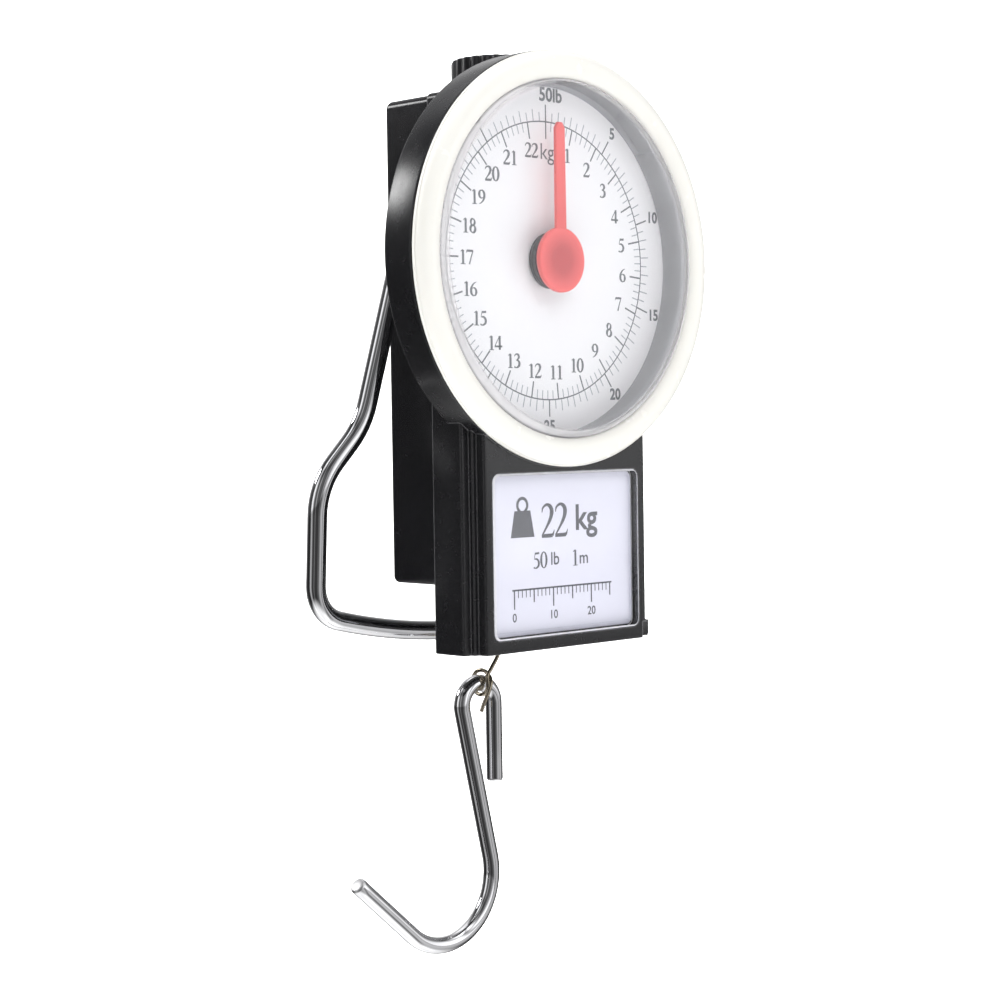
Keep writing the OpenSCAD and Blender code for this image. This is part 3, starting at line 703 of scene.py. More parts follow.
def path2(pts, q, step=6.0):
    """Corner-rounded 2D path, each corner i with radius q[i], sampled finely on the bends."""
    out = []
    for i, p in enumerate(pts):
        p = Vector(p)
        if i in (0, len(pts) - 1):
            out.append(p)
            continue
        a, b = Vector(pts[i - 1]) - p, Vector(pts[i + 1]) - p
        a.normalize(); b.normalize()
        th = acos(max(-1, min(1, a.dot(b))))
        t = q[i] / tan(th / 2)
        c = p + (a + b).normalized() * (q[i] / sin(th / 2))
        s, e = p + a * t, p + b * t
        a0 = atan2(s.y - c.y, s.x - c.x)
        d = (atan2(e.y - c.y, e.x - c.x) - a0 + pi) % (2 * pi) - pi
        n = max(4, int(abs(math.degrees(d)) / step))
        for k in range(n + 1):
            w = a0 + d * k / n
            out.append(Vector((c.x + q[i] * cos(w), c.y + q[i] * sin(w))))
    return out


def densify(P, step):
    out = [P[0]]
    for a, b in zip(P, P[1:]):
        L = (b - a).length
        k = max(1, int(L / step))
        for i in range(1, k + 1):
            out.append(a.lerp(b, i / k))
    return out


def finish_piece(o, body, nodes=()):
    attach(o, body)
    if nodes:
        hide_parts(*nodes)
    return o


def cad_copy(node, name, mat, body, width=0.12, seg=2, ang=32):
    """The CAD node's own shape with its sharp edges broken by a small bevel."""
    bm = bmesh.new()
    bm.from_mesh(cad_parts[node].data)
    bmesh.ops.remove_doubles(bm, verts=bm.verts, dist=1e-6)
    bmesh.ops.dissolve_limit(bm, angle_limit=radians(0.4), verts=bm.verts, edges=bm.edges)
    if width > 0:
        ed = [e for e in bm.edges if len(e.link_faces) == 2 and e.calc_face_angle(0) > radians(40) and e.is_convex]
        bmesh.ops.bevel(bm, geom=ed, offset=width * MM, offset_type="OFFSET", segments=seg, profile=0.5, affect="EDGES", clamp_overlap=True, harden_normals=False)
    o = from_bm(name, bm, mat, ang)
    return finish_piece(o, body, (node,))

# ---------------------------------------------------------------- front case
plan = [(-23.6, Y_PART), (-23.6, Y_STEP1), (-21.9, Y_STEP1), (-21.9, Y_STEP2), (-20.9, Y_STEP2), (-20.9, Y_FACE),
        (20.9, Y_FACE), (20.9, Y_STEP2), (21.9, Y_STEP2), (21.9, Y_STEP1), (23.6, Y_STEP1), (23.6, Y_PART)]
pr = [0.0, 0.45, 0.12, 0.30, 0.12, 0.45, 0.45, 0.12, 0.30, 0.12, 0.45, 0.0]
plan_r = fillet(plan, pr, 5)
secs = []
for d, z in [(0.22, BASE_Z), (0.11, BASE_Z + 0.03), (0.03, BASE_Z + 0.11), (0.0, BASE_Z + 0.24), (0.0, -20.0)]:
    q = offset(plan_r, d) if d else plan_r
    # the parting edge stays flat against the rear case
    q = [(x, min(y, Y_PART)) for x, y in q]
    secs.append([(x, y, z) for x, y in q])
block = loft("front_shell", secs, M_CASE)
upper = plate("tmp_upper", rrect(-23.6, -30, 23.6, TOP_Z, [0.3, 0.3, 1.2, 1.2], 6), Y_DRUM - 1.0, Y_PART, M_CASE, XZ, r=0.0, r_lo=0.0)
R = 37.6
drum = revolve("tmp_drum", [(0, Y_RIM)] + [(R - 0.5 + 0.5 * sin(radians(t)), Y_RIM + 0.5 - 0.5 * cos(radians(t))) for t in range(0, 91, 15)]
               + [(R - 0.45 + 0.45 * cos(radians(t)), Y_DRUM - 0.45 + 0.45 * sin(radians(t))) for t in range(0, 91, 15)] + [(0, Y_DRUM)],
               M_CASE, 256, closed=False)
boolean(block, upper, "UNION")
boolean(block, drum, "UNION")
boolean(block, cyl(35.7, Y_RIM - 1, Y_FLOOR, n=192))
cav = boxm((-20.6, Y_DRUM, -34), (20.6, Y_PART + 1, 27.3))
for s in (-1, 1):
    boolean(cav, cyl(3.4, Y_DRUM - 1, Y_PART + 2, c=(s * 17.3, 0, 23.7)))
boolean(cav, cyl(4.2, Y_DRUM - 1, Y_DRUM + 1.6))
boolean(block, cav)
boolean(block, cyl(2.4, Y_FLOOR - 1, Y_PART))
for s in (-1, 1):
    boolean(block, cyl(1.2, Y_DRUM, Y_PART + 1, c=(s * 17.3, 0, 23.7)))
    boolean(block, cyl(1.2, -19, Y_PART + 1, c=(s * 17.3, 0, -36.75)))
LZ = BASE_Z + 2.35 + 29.7 / 2
boolean(block, plate("tmp_rec", rrect(-19, LZ - 14.85, 19, LZ + 14.85, 1.6, 8), Y_FACE - 1, Y_FACE + 1.8, M_CASE, XZ, r=0, r_lo=0))
comp = boxm((-21.8, -20.4, -68.6), (21.8, Y_PART + 1, -39.5))
for p in ((-18.9, -42.3), (18.9, -42.3), (-18.9, -65.7)):
    boolean(comp, cyl(2.5, -21, Y_PART - 1.0, c=(p[0], 0, p[1])))
boolean(block, comp)
for p in ((-18.9, -42.3), (18.9, -42.3), (-18.9, -65.7)):
    boolean(block, cyl(0.9, -18.6, Y_PART - 0.5, c=(p[0], 0, p[1]), n=24))
boolean(block, cyl(2.0, -21.1, -19, c=(0, 0, -55.3)))
boolean(block, boxm((21, -17.2 - 2.55, -68.1), (24, -17.2 + 2.55, -67.4)))
tidy(block)
boolean(block, plate("tmp_notch", [(19.91, Y_FACE - 1), (24.6, Y_FACE - 1), (24.6, Y_PART + 1), (22.61, Y_PART + 1), (22.61, Y_STEP1 - 0.31), (20.91, Y_STEP1 - 0.31), (20.91, Y_STEP2 - 0.31), (19.91, Y_STEP2 - 0.31)],
                     BASE_Z - 1, -67.2, M_CASE, XY, r=0, r_lo=0))
tidy(block)
finish_piece(block, "case", ("front_case",))

# ---------------------------------------------------------------- rear case
rear_out = fillet([(-22.4, Y_PART), (22.4, Y_PART), (22.4, 0), (-22.4, 0)], [0.05, 0.05, 1.2, 1.2], 8)
rs = []
for i in range(9):
    t = radians(90 * i / 8)
    rs.append((1.2 * (1 - sin(t)), -58.3 + 1.2 * (1 - cos(t))))
for i in range(9):
    t = radians(90 * i / 8)
    rs.append((1.5 * (1 - cos(t)), TOP_Z - 1.5 + 1.5 * sin(t)))
S = []
for d, z in rs:
    q = offset(rear_out, d) if d > 1e-6 else rear_out
    # only the sides and the back draw in, the parting face stays flat
    S.append([(x, Y_PART if y < Y_PART + max(d, 0.0) + 0.06 else y, z) for x, y in q])
rear = loft("rear_shell", S, M_REAR)
rcav = boxm((-20.6, Y_PART - 1, -56.4), (20.6, -1.8, 27.3))
for s in (-1, 1):
    for z in (23.7, -36.75):
        boolean(rcav, cyl(3.7, Y_PART - 2, 0, c=(s * 17.3, 0, z)))
boolean(rear, rcav)
boolean(rear, cyl(1.88, -24, 24, "X", (0, Y_MECH, PIVOT_Z)))
boolean(rear, plate("tmp_slot", rrect(-3.2, Y_MECH - 1.4, 3.2, Y_MECH + 1.4, 1.2, 6), -59.3, -55.3, M_CASE, XY, r=0, r_lo=0))
boolean(rear, cyl(1.8, TOP_Z - 3, TOP_Z + 2, "Z", (0, Y_MECH, 0)))
for s in (-1, 1):
    for z in (23.7, -36.75):
        boolean(rear, cyl(1.5, Y_PART - 1, 0, c=(s * 17.3, 0, z)))
        boolean(rear, revolve("tmp", [(0, -3.4), (2.8, -3.4), (2.8, -0.25), (3.2, 0.15), (3.2, 1), (0, 1)], M_CASE, 48, "Y", (s * 17.3, 0, z), closed=False))
    for z in (-26, 19.5):
        boolean(rear, cyl(0.97, -4, -0.8, c=(s * 5, 0, z), n=24))
tidy(rear)
finish_piece(rear, "case", ("rear_case",))

# ---------------------------------------------------------------- bezel, lens, dial
ri, ro, yb, nb = 32.4, 37.5, Y_RIM, 26
prof = [(ri, yb + 0.6), (ri, yb - 1.1)]
for i in range(nb + 1):
    a = radians(180 - 180 * i / nb)
    tail = max(0.0, (i - nb / 2) / (nb / 2))
    prof.append(((ri + ro) / 2 - 0.1 + ((ro - ri) / 2 - 0.1) * cos(a), yb - 1.1 - 1.4 * sin(a) + 0.5 * tail))
prof += [(ro - 0.02, yb - 0.55), (ro, yb - 0.45), (ro, yb - 0.1), (ro - 0.08, yb - 0.02), (35.6, yb - 0.02), (35.6, yb + 2.2), (34.7, yb + 2.2), (34.7, yb + 0.6)]
bezel = revolve("bezel", prof, M_BEZEL, 256, ang=50)
finish_piece(bezel, "case", ("bezel_ring",))

lens = revolve("lens", [(0, Y_RIM - 2.4), (29.6, Y_RIM - 2.4)] + arc(30.7, Y_RIM - 0.8, 1.6, -90, 0, 12)
               + [(32.3, Y_DIAL - 1.1), (32.5, Y_DIAL - 0.9), (34.3, Y_DIAL - 0.9), (34.4, Y_DIAL - 0.8), (34.4, Y_DIAL - 0.05), (34.35, Y_DIAL - 0.02), (31.75, Y_DIAL - 0.02), (31.5, Y_DIAL - 0.3)]
               + arc(30.7, Y_RIM - 0.8, 0.8, 0, -90, 8) + [(29.6, Y_RIM - 1.6), (0, Y_RIM - 1.6)], M_LENS, 192, closed=False, ang=50)
lens.data.materials.append(M_LWALL)
lens.data.materials.append(M_LEDGE)
for p in lens.data.polygons:
    r_ = hypot(p.center.x, p.center.z) / MM
    y_ = p.center.y / MM
    if r_ > 30.75:
        p.material_index = 1
    # a ring at the cup's foot gets the dense whitish wall material, a painted light line where the wall meets the dial
    if 31.48 < r_ < 31.9 and y_ > Y_DIAL - 0.35:
        p.material_index = 2
finish_piece(lens, "case", ("dial_lens",))

dial = revolve("dial_disc", [(1.6, Y_DIAL + 0.03), (1.63, Y_DIAL), (35.35, Y_DIAL), (35.4, Y_DIAL + 0.05), (35.4, Y_FLOOR - 0.02), (35.38, Y_FLOOR), (1.6, Y_FLOOR)], M_DIAL, 192)
finish_piece(dial, "case", ("dial_plate",))

# ---------------------------------------------------------------- printing: thin raised ink
class Ink:
    """Collects flat shapes drawn in the X-Z plane and makes one thin solid of them."""
    def __init__(self, y, t=0.02):
        self.v, self.f, self.y, self.t = [], [], y, t
    def prism(self, pts):
        n = len(pts)
        b = len(self.v)
        for lv in (self.y - self.t, self.y + 0.004):
            self.v += [(x, lv, z) for x, z in pts]
        self.f.append(tuple(b + i for i in range(n)))
        self.f.append(tuple(b + n + i for i in reversed(range(n))))
        for i in range(n):
            j = (i + 1) % n
            self.f.append((b + i, b + n + i, b + n + j, b + j))
    def strip(self, L, R, closed=False):
        n = len(L)
        b = len(self.v)
        for lv in (self.y - self.t, self.y + 0.004):
            self.v += [(x, lv, z) for x, z in L] + [(x, lv, z) for x, z in R]
        k = 2 * n
        m = n if closed else n - 1
        for i in range(m):
            j = (i + 1) % n
            self.f.append((b + i, b + j, b + n + j, b + n + i))
            self.f.append((b + k + i, b + k + n + i, b + k + n + j, b + k + j))
            self.f.append((b + i, b + k + i, b + k + j, b + j))
            self.f.append((b + n + i, b + n + j, b + k + n + j, b + k + n + i))
        if not closed:
            for i in (0, n - 1):
                self.f.append((b + i, b + n + i, b + k + n + i, b + k + i))
    def bar(self, a, b, w):
        a, b = Vector(a), Vector(b)
        u = (b - a).normalized()
        p = Vector((-u.y, u.x)) * w / 2
        self.prism([tuple(a + p), tuple(b + p), tuple(b - p), tuple(a - p)])
    def stroke(self, pts, ws, place, closed=False, sub=5):
        """A smooth pen stroke through pts, ws its half widths."""
        P = [Vector(p) for p in pts]
        n = len(P)
        Q, W = [], []
        rng_ = range(n) if closed else range(n - 1)
        for i in rng_:
            p0 = P[(i - 1) % n] if closed or i > 0 else P[0] * 2 - P[1]
            p1, p2 = P[i], P[(i + 1) % n]
            p3 = P[(i + 2) % n] if closed or i + 2 < n else P[-1] * 2 - P[-2]
            m = 1 if n == 2 else sub
            for k in range(m):
                t = k / m
                Q.append(0.5 * ((2 * p1) + (p2 - p0) * t + (2 * p0 - 5 * p1 + 4 * p2 - p3) * t * t + (3 * p1 - p0 - 3 * p2 + p3) * t ** 3))
                W.append(ws[i] + (ws[(i + 1) % n] - ws[i]) * (3 * t * t - 2 * t ** 3))
        if not closed:
            Q.append(P[-1]); W.append(ws[-1])
        L, Rr = [], []
        for i, q in enumerate(Q):
            a = Q[(i - 1) % len(Q)] if closed else Q[max(0, i - 1)]
            b = Q[(i + 1) % len(Q)] if closed else Q[min(len(Q) - 1, i + 1)]
            u = (b - a).normalized()
            nn = Vector((-u.y, u.x)) * W[i]
            L.append(place(q + nn)); Rr.append(place(q - nn))
        self.strip(L, Rr, closed)
    def ring(self, r, w, n=180, a0=0, a1=360):
        full = abs(a1 - a0) >= 360
        m = n if full else n + 1
        A = [radians(a0 + (a1 - a0) * i / n) for i in range(m)]
        self.strip([((r + w / 2) * cos(a), (r + w / 2) * sin(a)) for a in A], [((r - w / 2) * cos(a), (r - w / 2) * sin(a)) for a in A], full)
    def build(self, name, mat, body):
        o = mesh(name, self.v, self.f, mat, 20)
        return finish_piece(o, body, ())


def loop(cx, cy, a, b, thick, thin, n=14, ph=0.0):
    pts, ws = [], []
    for i in range(n):
        t = 2 * pi * i / n
        pts.append((cx + a * cos(t), cy + b * sin(t)))
        ws.append(thin + (thick - thin) * abs(cos(t + ph)) ** 1.3)
    return pts, ws, True


def glyph(ch):
    """Strokes of an old-style book figure in a unit-high box: (points, half widths, closed)."""
    if ch == "0":
        return [loop(.5, .5, .235, .475, .068, .022)]
    if ch == "1":
        return [([(.52, .95), (.52, .03)], [.062, .062], False), ([(.53, .97), (.42, .91), (.32, .85)], [.03, .024, .014], False),
                ([(.32, .018), (.72, .018)], [.018, .018], False)]
    if ch == "2":
        return [([(.22, .74), (.27, .88), (.45, .965), (.62, .89), (.67, .74), (.60, .54), (.42, .30), (.22, .07)], [.014, .028, .036, .060, .070, .054, .034, .022], False),
                ([(.20, .05), (.46, .052), (.70, .055)], [.046, .05, .05], False), ([(.69, .06), (.745, .13), (.78, .22)], [.045, .022, .010], False)]
    if ch == "3":
        return [([(.25, .79), (.32, .91), (.46, .965), (.60, .89), (.635, .76), (.57, .62), (.42, .54)], [.012, .028, .034, .056, .064, .044, .020], False),
                ([(.40, .55), (.57, .51), (.675, .37), (.66, .19), (.54, .06), (.38, .03), (.23, .08)], [.014, .038, .066, .066, .044, .026, .040], False)]
    if ch == "4":
        return [([(.585, .96), (.38, .62), (.18, .27)], [.020, .020, .020], False), ([(.16, .25), (.82, .25)], [.040, .040], False),
                ([(.60, .97), (.60, .02)], [.060, .060], False)]
    if ch == "5":
        return [([(.34, .92), (.54, .92), (.72, .94)], [.046, .048, .050], False), ([(.37, .94), (.32, .76), (.275, .58)], [.020, .018, .014], False),
                ([(.27, .57), (.45, .59), (.60, .51), (.68, .35), (.65, .18), (.52, .06), (.36, .03), (.22, .08)], [.012, .040, .054, .064, .060, .042, .026, .042], False)]
    if ch == "6":
        return [([(.73, .965), (.56, .90), (.38, .73), (.27, .48), (.28, .22), (.40, .06), (.52, .025)], [.010, .026, .044, .064, .062, .040, .022], False),
                ([(.50, .025), (.64, .10), (.70, .28), (.66, .46), (.52, .57), (.36, .51)], [.020, .044, .066, .052, .026, .012], False)]
    if ch == "7":
        return [([(.22, .92), (.50, .92), (.76, .92)], [.050, .048, .046], False), ([(.235, .95), (.20, .86), (.17, .76)], [.022, .016, .010], False),
                ([(.755, .93), (.58, .48), (.43, .01)], [.024, .030, .040], False)]
    if ch == "8":
        return [loop(.50, .745, .165, .215, .056, .022, ph=.35), loop(.50, .275, .205, .250, .066, .024, ph=.35)]
    if ch == "9":
        return [([(1 - x, 1 - y) for x, y in s[0]], s[1], s[2]) for s in glyph("6")]
    return []


def serif_number(k, text, cx, cz, h, w=None, adv=0.60, bold=1.45):
    """Writes a number centred at (cx, cz)."""
    w = w or h * 0.92
    a = adv * w * 1.04
    x0 = cx - a * len(text) / 2
    for i, ch in enumerate(text):
        ox = x0 + a * i + a / 2 - 0.5 * w
        for pts, ws, closed in glyph(ch):
            k.stroke([(x * w, y * h) for x, y in pts], [q * w * bold for q in ws], lambda p, ox=ox: (ox + p.x, cz - h / 2 + p.y), closed)


def sans(name, text, cx, cz, size, y, mat, body, slot, bold=0.0, rot=0.0, sx=1.0, t=0.02):
    """Plain figures and unit names from the built-in face, as thin solids."""
    cu = bpy.data.curves.new(name, "FONT")
    cu.body = text
    cu.size = size * MM
    cu.align_x, cu.align_y = "CENTER", "CENTER"
    cu.extrude = t * MM / 2
    cu.offset = bold * MM
    cu.resolution_u = 4
    o = link(bpy.data.objects.new(name, cu))
    o.matrix_world = Matrix.Translation((cx * MM, (y - t / 2 + 0.004) * MM, cz * MM)) @ Matrix.Rotation(rot, 4, "Y") @ Matrix.Rotation(pi / 2, 4, "X") @ Matrix.Scale(sx, 4, (1, 0, 0))
    bpy.context.view_layer.update()
    me = bpy.data.meshes.new_from_object(o.evaluated_get(bpy.context.evaluated_depsgraph_get()))
    me.transform(o.matrix_world)
    bpy.data.objects.remove(o)
    me.materials.clear()
    me.materials.append(mat)
    return link(bpy.data.objects.new(name, me))


il = Ink(Y_DIAL)
P2 = lambda deg, r: (r * sin(radians(deg)), r * cos(radians(deg)))
ik = Ink(Y_DIAL)
ik.ring(25.3, 0.24)
KG = 360 / 22.68
for i in range(0, 5 * 22 + 1):
    kgv = i / 5
    d = kgv * KG
    major = i % 5 == 0
    if i and abs(d - 360) > 1.5:
        (ik if major else il).bar(P2(d, 25.18), P2(d, 22.3 if major else 23.6), 0.30 if major else 0.20)
for i in range(0, 100):
    d = i * 3.6
    if i % 10 == 0:
        ik.bar(P2(d, 22.2 if i == 0 else 25.3), P2(d, 28.4), 0.28)
    else:
        il.bar(P2(d, 25.42), P2(d, 27.5 if i % 2 == 0 else 27.0), 0.20)
for k in range(1, 22):
    x, z = P2(k * KG, 20.35)
    serif_number(ik, str(k), x, z, 2.6, 2.85)
x, z = P2(22 * KG, 20.1)
serif_number(ik, "22", x + 0.05, z + 0.15, 2.6, 2.75)
ik.build("dial_marks", M_INK, "case")
il.build("dial_marks_fine", M_INKL, "case")
txt = []
for n in range(5, 50, 5):
    x, z = P2(n * 7.2, 30.2)
    txt.append(sans(f"t{n}", str(n), x, z, 2.9, Y_DIAL, M_INK, "case", "dial_print", 0.09))
txt.append(sans("t50", "50lb", 1.35, 30.15, 3.5, Y_DIAL, M_INK, "case", "dial_print", 0.09))
txt.append(sans("tkg", "kg", 0.25, 19.75, 4.2, Y_DIAL, M_INK, "case", "dial_print", 0.0))
finish_piece(join("dial_figures", txt), "case", ())

# ---------------------------------------------------------------- pointer
YP = Y_DIAL - 3.9
pd = revolve("pointer_cap", [(0, YP + 0.07), (2.5, YP + 0.05), (5.2, YP)] + arc(5.55, YP + 0.35, 0.35, -90, 0, 5) + [(5.9, YP + 0.85), (5.8, YP + 0.95), (0, YP + 0.95)], M_RED, 96, closed=False, ang=50)
arm = plate("pointer_arm", fillet([(-1.35, 0), (-1.18, 23.9), (-0.55, 24.9), (0.55, 24.9), (1.18, 23.9), (1.35, 0)], [0, .3, .3, .3, .3, 0], 4),
            YP + 0.1, YP + 0.8, M_RED, XZ, r=0.12, r_lo=0.2)
boolean(pd, arm, "UNION")
boolean(pd, cyl(1.0, YP + 0.55, Y_DIAL, n=32))
tidy(pd, 50)
pd.name = "pointer_red"
finish_piece(pd, "pointer", ("pointer",))
YH = Y_DIAL - 2.95
hub = revolve("pointer_boss", [(1.0, YH), (4.8, YH), (5.1, YH + 0.25), (5.1, YH + 0.7), (4.95, YH + 0.8), (4.95, YH + 1.0), (5.1, YH + 1.1), (5.1, YH + 1.6), (4.95, YH + 1.7), (4.95, YH + 1.9),
                               (5.1, YH + 2.0), (5.1, YH + 2.55), (4.95, YH + 2.7), (1.0, YH + 2.7)], M_HUB, 96)
finish_piece(hub, "pointer", ("pointer_hub",))

# ---------------------------------------------------------------- label
card = plate("label_sheet", rrect(-18.5, LZ - 14.35, 18.5, LZ + 14.35, 1.2, 6), Y_FACE + 1.5, Y_FACE + 1.78, M_CARD, XZ, r=0.05, r_lo=0.05)
finish_piece(card, "case", ("label_card",))
w_, h_ = 18.95, 14.8
win = plate("window_cover", rrect(-w_, LZ - h_, w_, LZ + h_, 1.55, 8), Y_FACE - 0.25, Y_FACE + 1.76, M_WINDOW, XZ, r=0.1, r_lo=0.5, rn=5)
boolean(win, plate("tmp", rrect(-w_ + 1.2, LZ - h_ + 1.2, w_ - 1.2, LZ + h_ - 1.2, 0.9, 8), Y_FACE + 0.75, Y_FACE + 3, M_WINDOW, XZ, r=0, r_lo=0.2))
boolean(win, plate("tmp", rrect(-18.55, LZ - 14.4, 18.55, LZ + 14.4, 1.25, 8), Y_FACE + 1.45, Y_FACE + 3, M_WINDOW, XZ, r=0, r_lo=0.0))
tidy(win, 40)
win.data.materials.append(M_WWALL)
# the rim's slopes and top get the whitish wall material: partly the rim's haze and partly a painted highlight along the
# raised rim
for p in win.data.polygons:
    x_, y_, z_ = abs(p.center.x / MM), p.center.y / MM, abs(p.center.z / MM - LZ)
    rim = x_ > w_ - 0.62 or z_ > h_ - 0.62
    if rim and (0.15 < abs(p.normal.y) < 0.98 and y_ < Y_FACE + 0.5 or y_ > Y_FACE + 1.3):
        p.material_index = 1
finish_piece(win, "case", ("label_window",))

yl = Y_FACE + 1.5
lab = Ink(yl, 0.02)
# weight on a hook, as a small pictogram, then capacity, length and a ruler strip
lab.prism([(-13.2, LZ + 3.2), (-12.2, LZ + 8.0), (-8.2, LZ + 8.0), (-7.2, LZ + 3.2)])
lab.stroke([(-10.2 + 1.25 * cos(radians(t)), LZ + 9.0 + 1.25 * sin(radians(t))) for t in range(-60, 241, 30)], [.28] * 11, lambda p: (p.x, p.y))
serif_number(lab, "22", -1.9, LZ + 6.0, 6.2, 5.6, 0.60, 1.25)
serif_number(lab, "50", -5.8, LZ - 1.1, 3.0, 2.9, 0.60, 1.3)
serif_number(lab, "1", 3.3, LZ - 1.1, 3.0, 2.9, 0.60, 1.3)
for i in range(0, 26):
    x = -12.5 + i
    lab.bar((x, LZ - 6.2), (x, LZ - (9.6 if i % 10 == 0 else 8.6 if i % 5 == 0 else 7.6)), 0.3 if i % 5 == 0 else 0.2)
lab.bar((-13.0, LZ - 6.2), (13.0, LZ - 6.2), 0.3)
lab.build("label_marks", M_INK2, "case")
tl = [sans("l1", "kg", 6.3, LZ + 6.0, 6.6, yl, M_INK2, "case", "card", 0.12),
      sans("l2", "lb", -2.0, LZ - 1.1, 3.3, yl, M_INK2, "case", "card", 0.03),
      sans("l3", "m", 5.6, LZ - 1.3, 3.3, yl, M_INK2, "case", "card", 0.03)]
for i, q in enumerate(("0", "10", "20")):
    tl.append(sans(f"l{i+4}", q, -12.5 + 10 * i, LZ - 11.2, 2.2, yl, M_INK2, "case", "card", 0.03))
finish_piece(join("label_figures", tl), "case", ())

# ---------------------------------------------------------------- handle
def handle_path():
    gp = [(-18.8, 0), (-24.7, 0), (-30.9, 31.2), (-40.3, 41.8), (-38.9, 65.2)]
    sag = 70.6 - 65.2
    b0 = 38.9
    Rr = (b0 * b0 + sag * sag) / (2 * sag)
    cz = -70.6 + Rr
    k = asin(33.2 / Rr)
    p3 = (-33.2, cz - Rr * cos(k))
    td = (cos(k), -sin(k))
    q4 = [(g[0], -g[1]) for g in gp]
    sl = hypot(1.4, 23.4)
    sd = (1.4 / sl, -23.4 / sl)
    s0 = q4[3]
    u = (td[0] * (s0[1] - p3[1]) - td[1] * (s0[0] - p3[0])) / (sd[0] * td[1] - sd[1] * td[0])
    cor = (s0[0] + sd[0] * u, s0[1] + sd[1] * u)
    half = path2([q4[0], q4[1], q4[2], q4[3], cor, p3], [0, 2.4, 15, 13, 7.6, 0], 5.0)
    n = 24
    bar = [Vector((Rr * sin(-k + 2 * k * i / n), cz - Rr * cos(-k + 2 * k * i / n))) for i in range(1, n)]
    right = [Vector((-p.x, p.y)) for p in reversed(half)]
    pts = half + bar + right
    L = radians(7.5)
    out = []
    for p in pts:
        y, z = 0.0, p.y
        out.append(Vector((p.x, Y_MECH + y * cos(L) - z * sin(L), PIVOT_Z + y * sin(L) + z * cos(L))))
    return out
hp = densify(handle_path(), 1.5)
handle = tube("handle_wire", hp, 1.8, M_CHROME, 40, 0.3)
finish_piece(handle, "handle", ("handle",))

# ---------------------------------------------------------------- S hook
def hook_path():
    c1, c2 = Vector((-5.2, -82.1)), Vector((-14.5, -113.6))
    r1, r2 = 4.1, 12.15
    d = c2 - c1
    sh = atan2(d.y, d.x) + asin((r1 + r2) / d.length)
    n = Vector((-sin(sh), cos(sh)))
    t1, t2 = c1 - r1 * n, c2 + r2 * n
    a1 = atan2(t1.y - c1.y, t1.x - c1.x)
    a1 = a1 + 2 * pi if a1 < 0 else a1
    a2 = atan2(t2.y - c2.y, t2.x - c2.x)
    ta = radians(-131.5)
    P = [Vector((c1.x + r1, -96.9)), Vector((c1.x + r1, -90))]
    P += [c1 + r1 * Vector((cos(a1 * i / 40), sin(a1 * i / 40))) for i in range(41)]
    P += [t1.lerp(t2, i / 12) for i in range(1, 12)]
    P += [c2 + r2 * Vector((cos(a2 + (ta - a2) * i / 48), sin(a2 + (ta - a2) * i / 48))) for i in range(49)]
    td = Vector((cos(ta - pi / 2), sin(ta - pi / 2)))
    P += [P[-1] + td * 17.4 * i / 8 for i in range(1, 9)]
    return [Vector((p.x, EYE.y, p.y)) for p in P]
hk = tube("hook_wire", hook_path(), 1.55, M_CHROME, 36, 0.5, end_mat=M_CUT)
finish_piece(hk, "hook", ("s_hook",))

# ---------------------------------------------------------------- link wire
def link_path():
    P = []
    lz = -38.7
    # upper eye through the draw bar, closed on itself above the straight run
    for i in range(0, 25):
        a = radians(265 - 345 * i / 24)
        P.append(Vector((0.0, Y_MECH + 1.9 * cos(a), lz - 1.9 + 1.9 * sin(a))))
    P = P[::-1]
    P = [Vector((0.35 * (1 - i / 24), p.y, p.z)) for i, p in enumerate(P)]
    run = [Vector((0, lz - 6.0)), Vector((0, -61)), Vector((-2.0, -73)), Vector((-4.9, -76.6))]
    for q in densify(path2([tuple(v) for v in run], [0, 12, 3, 0], 4.0), 1.2):
        P.append(Vector((q.x, Y_MECH, q.y)))
    # lower eye: down the front, under the hook, up behind and over the top, then a free tail across the front
    for i in range(1, 31):
        a = radians(170 + 330 * i / 30)
        P.append(Vector((-4.75 + 0.75 * i / 30, EYE.y + 2.3 * cos(a), EYE.z + 2.3 * sin(a))))
    P += [Vector((-4.1, EYE.y - 2.55, EYE.z + 0.3)), Vector((-4.9, EYE.y - 2.5, EYE.z - 1.8)), Vector((-5.8, EYE.y - 2.2, EYE.z - 3.8)), Vector((-6.3, EYE.y - 2.05, EYE.z - 5.2))]
    return P
def smooth(P, sub=3):
    out = []
    for i in range(len(P) - 1):
        p0, p1, p2, p3 = P[max(0, i - 1)], P[i], P[i + 1], P[min(len(P) - 1, i + 2)]
        for k in range(sub):
            t = k / sub
            out.append(0.5 * ((2 * p1) + (p2 - p0) * t + (2 * p0 - 5 * p1 + 4 * p2 - p3) * t * t + (3 * p1 - p0 - 3 * p2 + p3) * t ** 3))
    out.append(P[-1])
    return out
lk = tube("link_wire_bent", smooth(link_path(), 2), 0.39, M_LINK, 16, 0.1)
finish_piece(lk, "link", ("link_wire",))

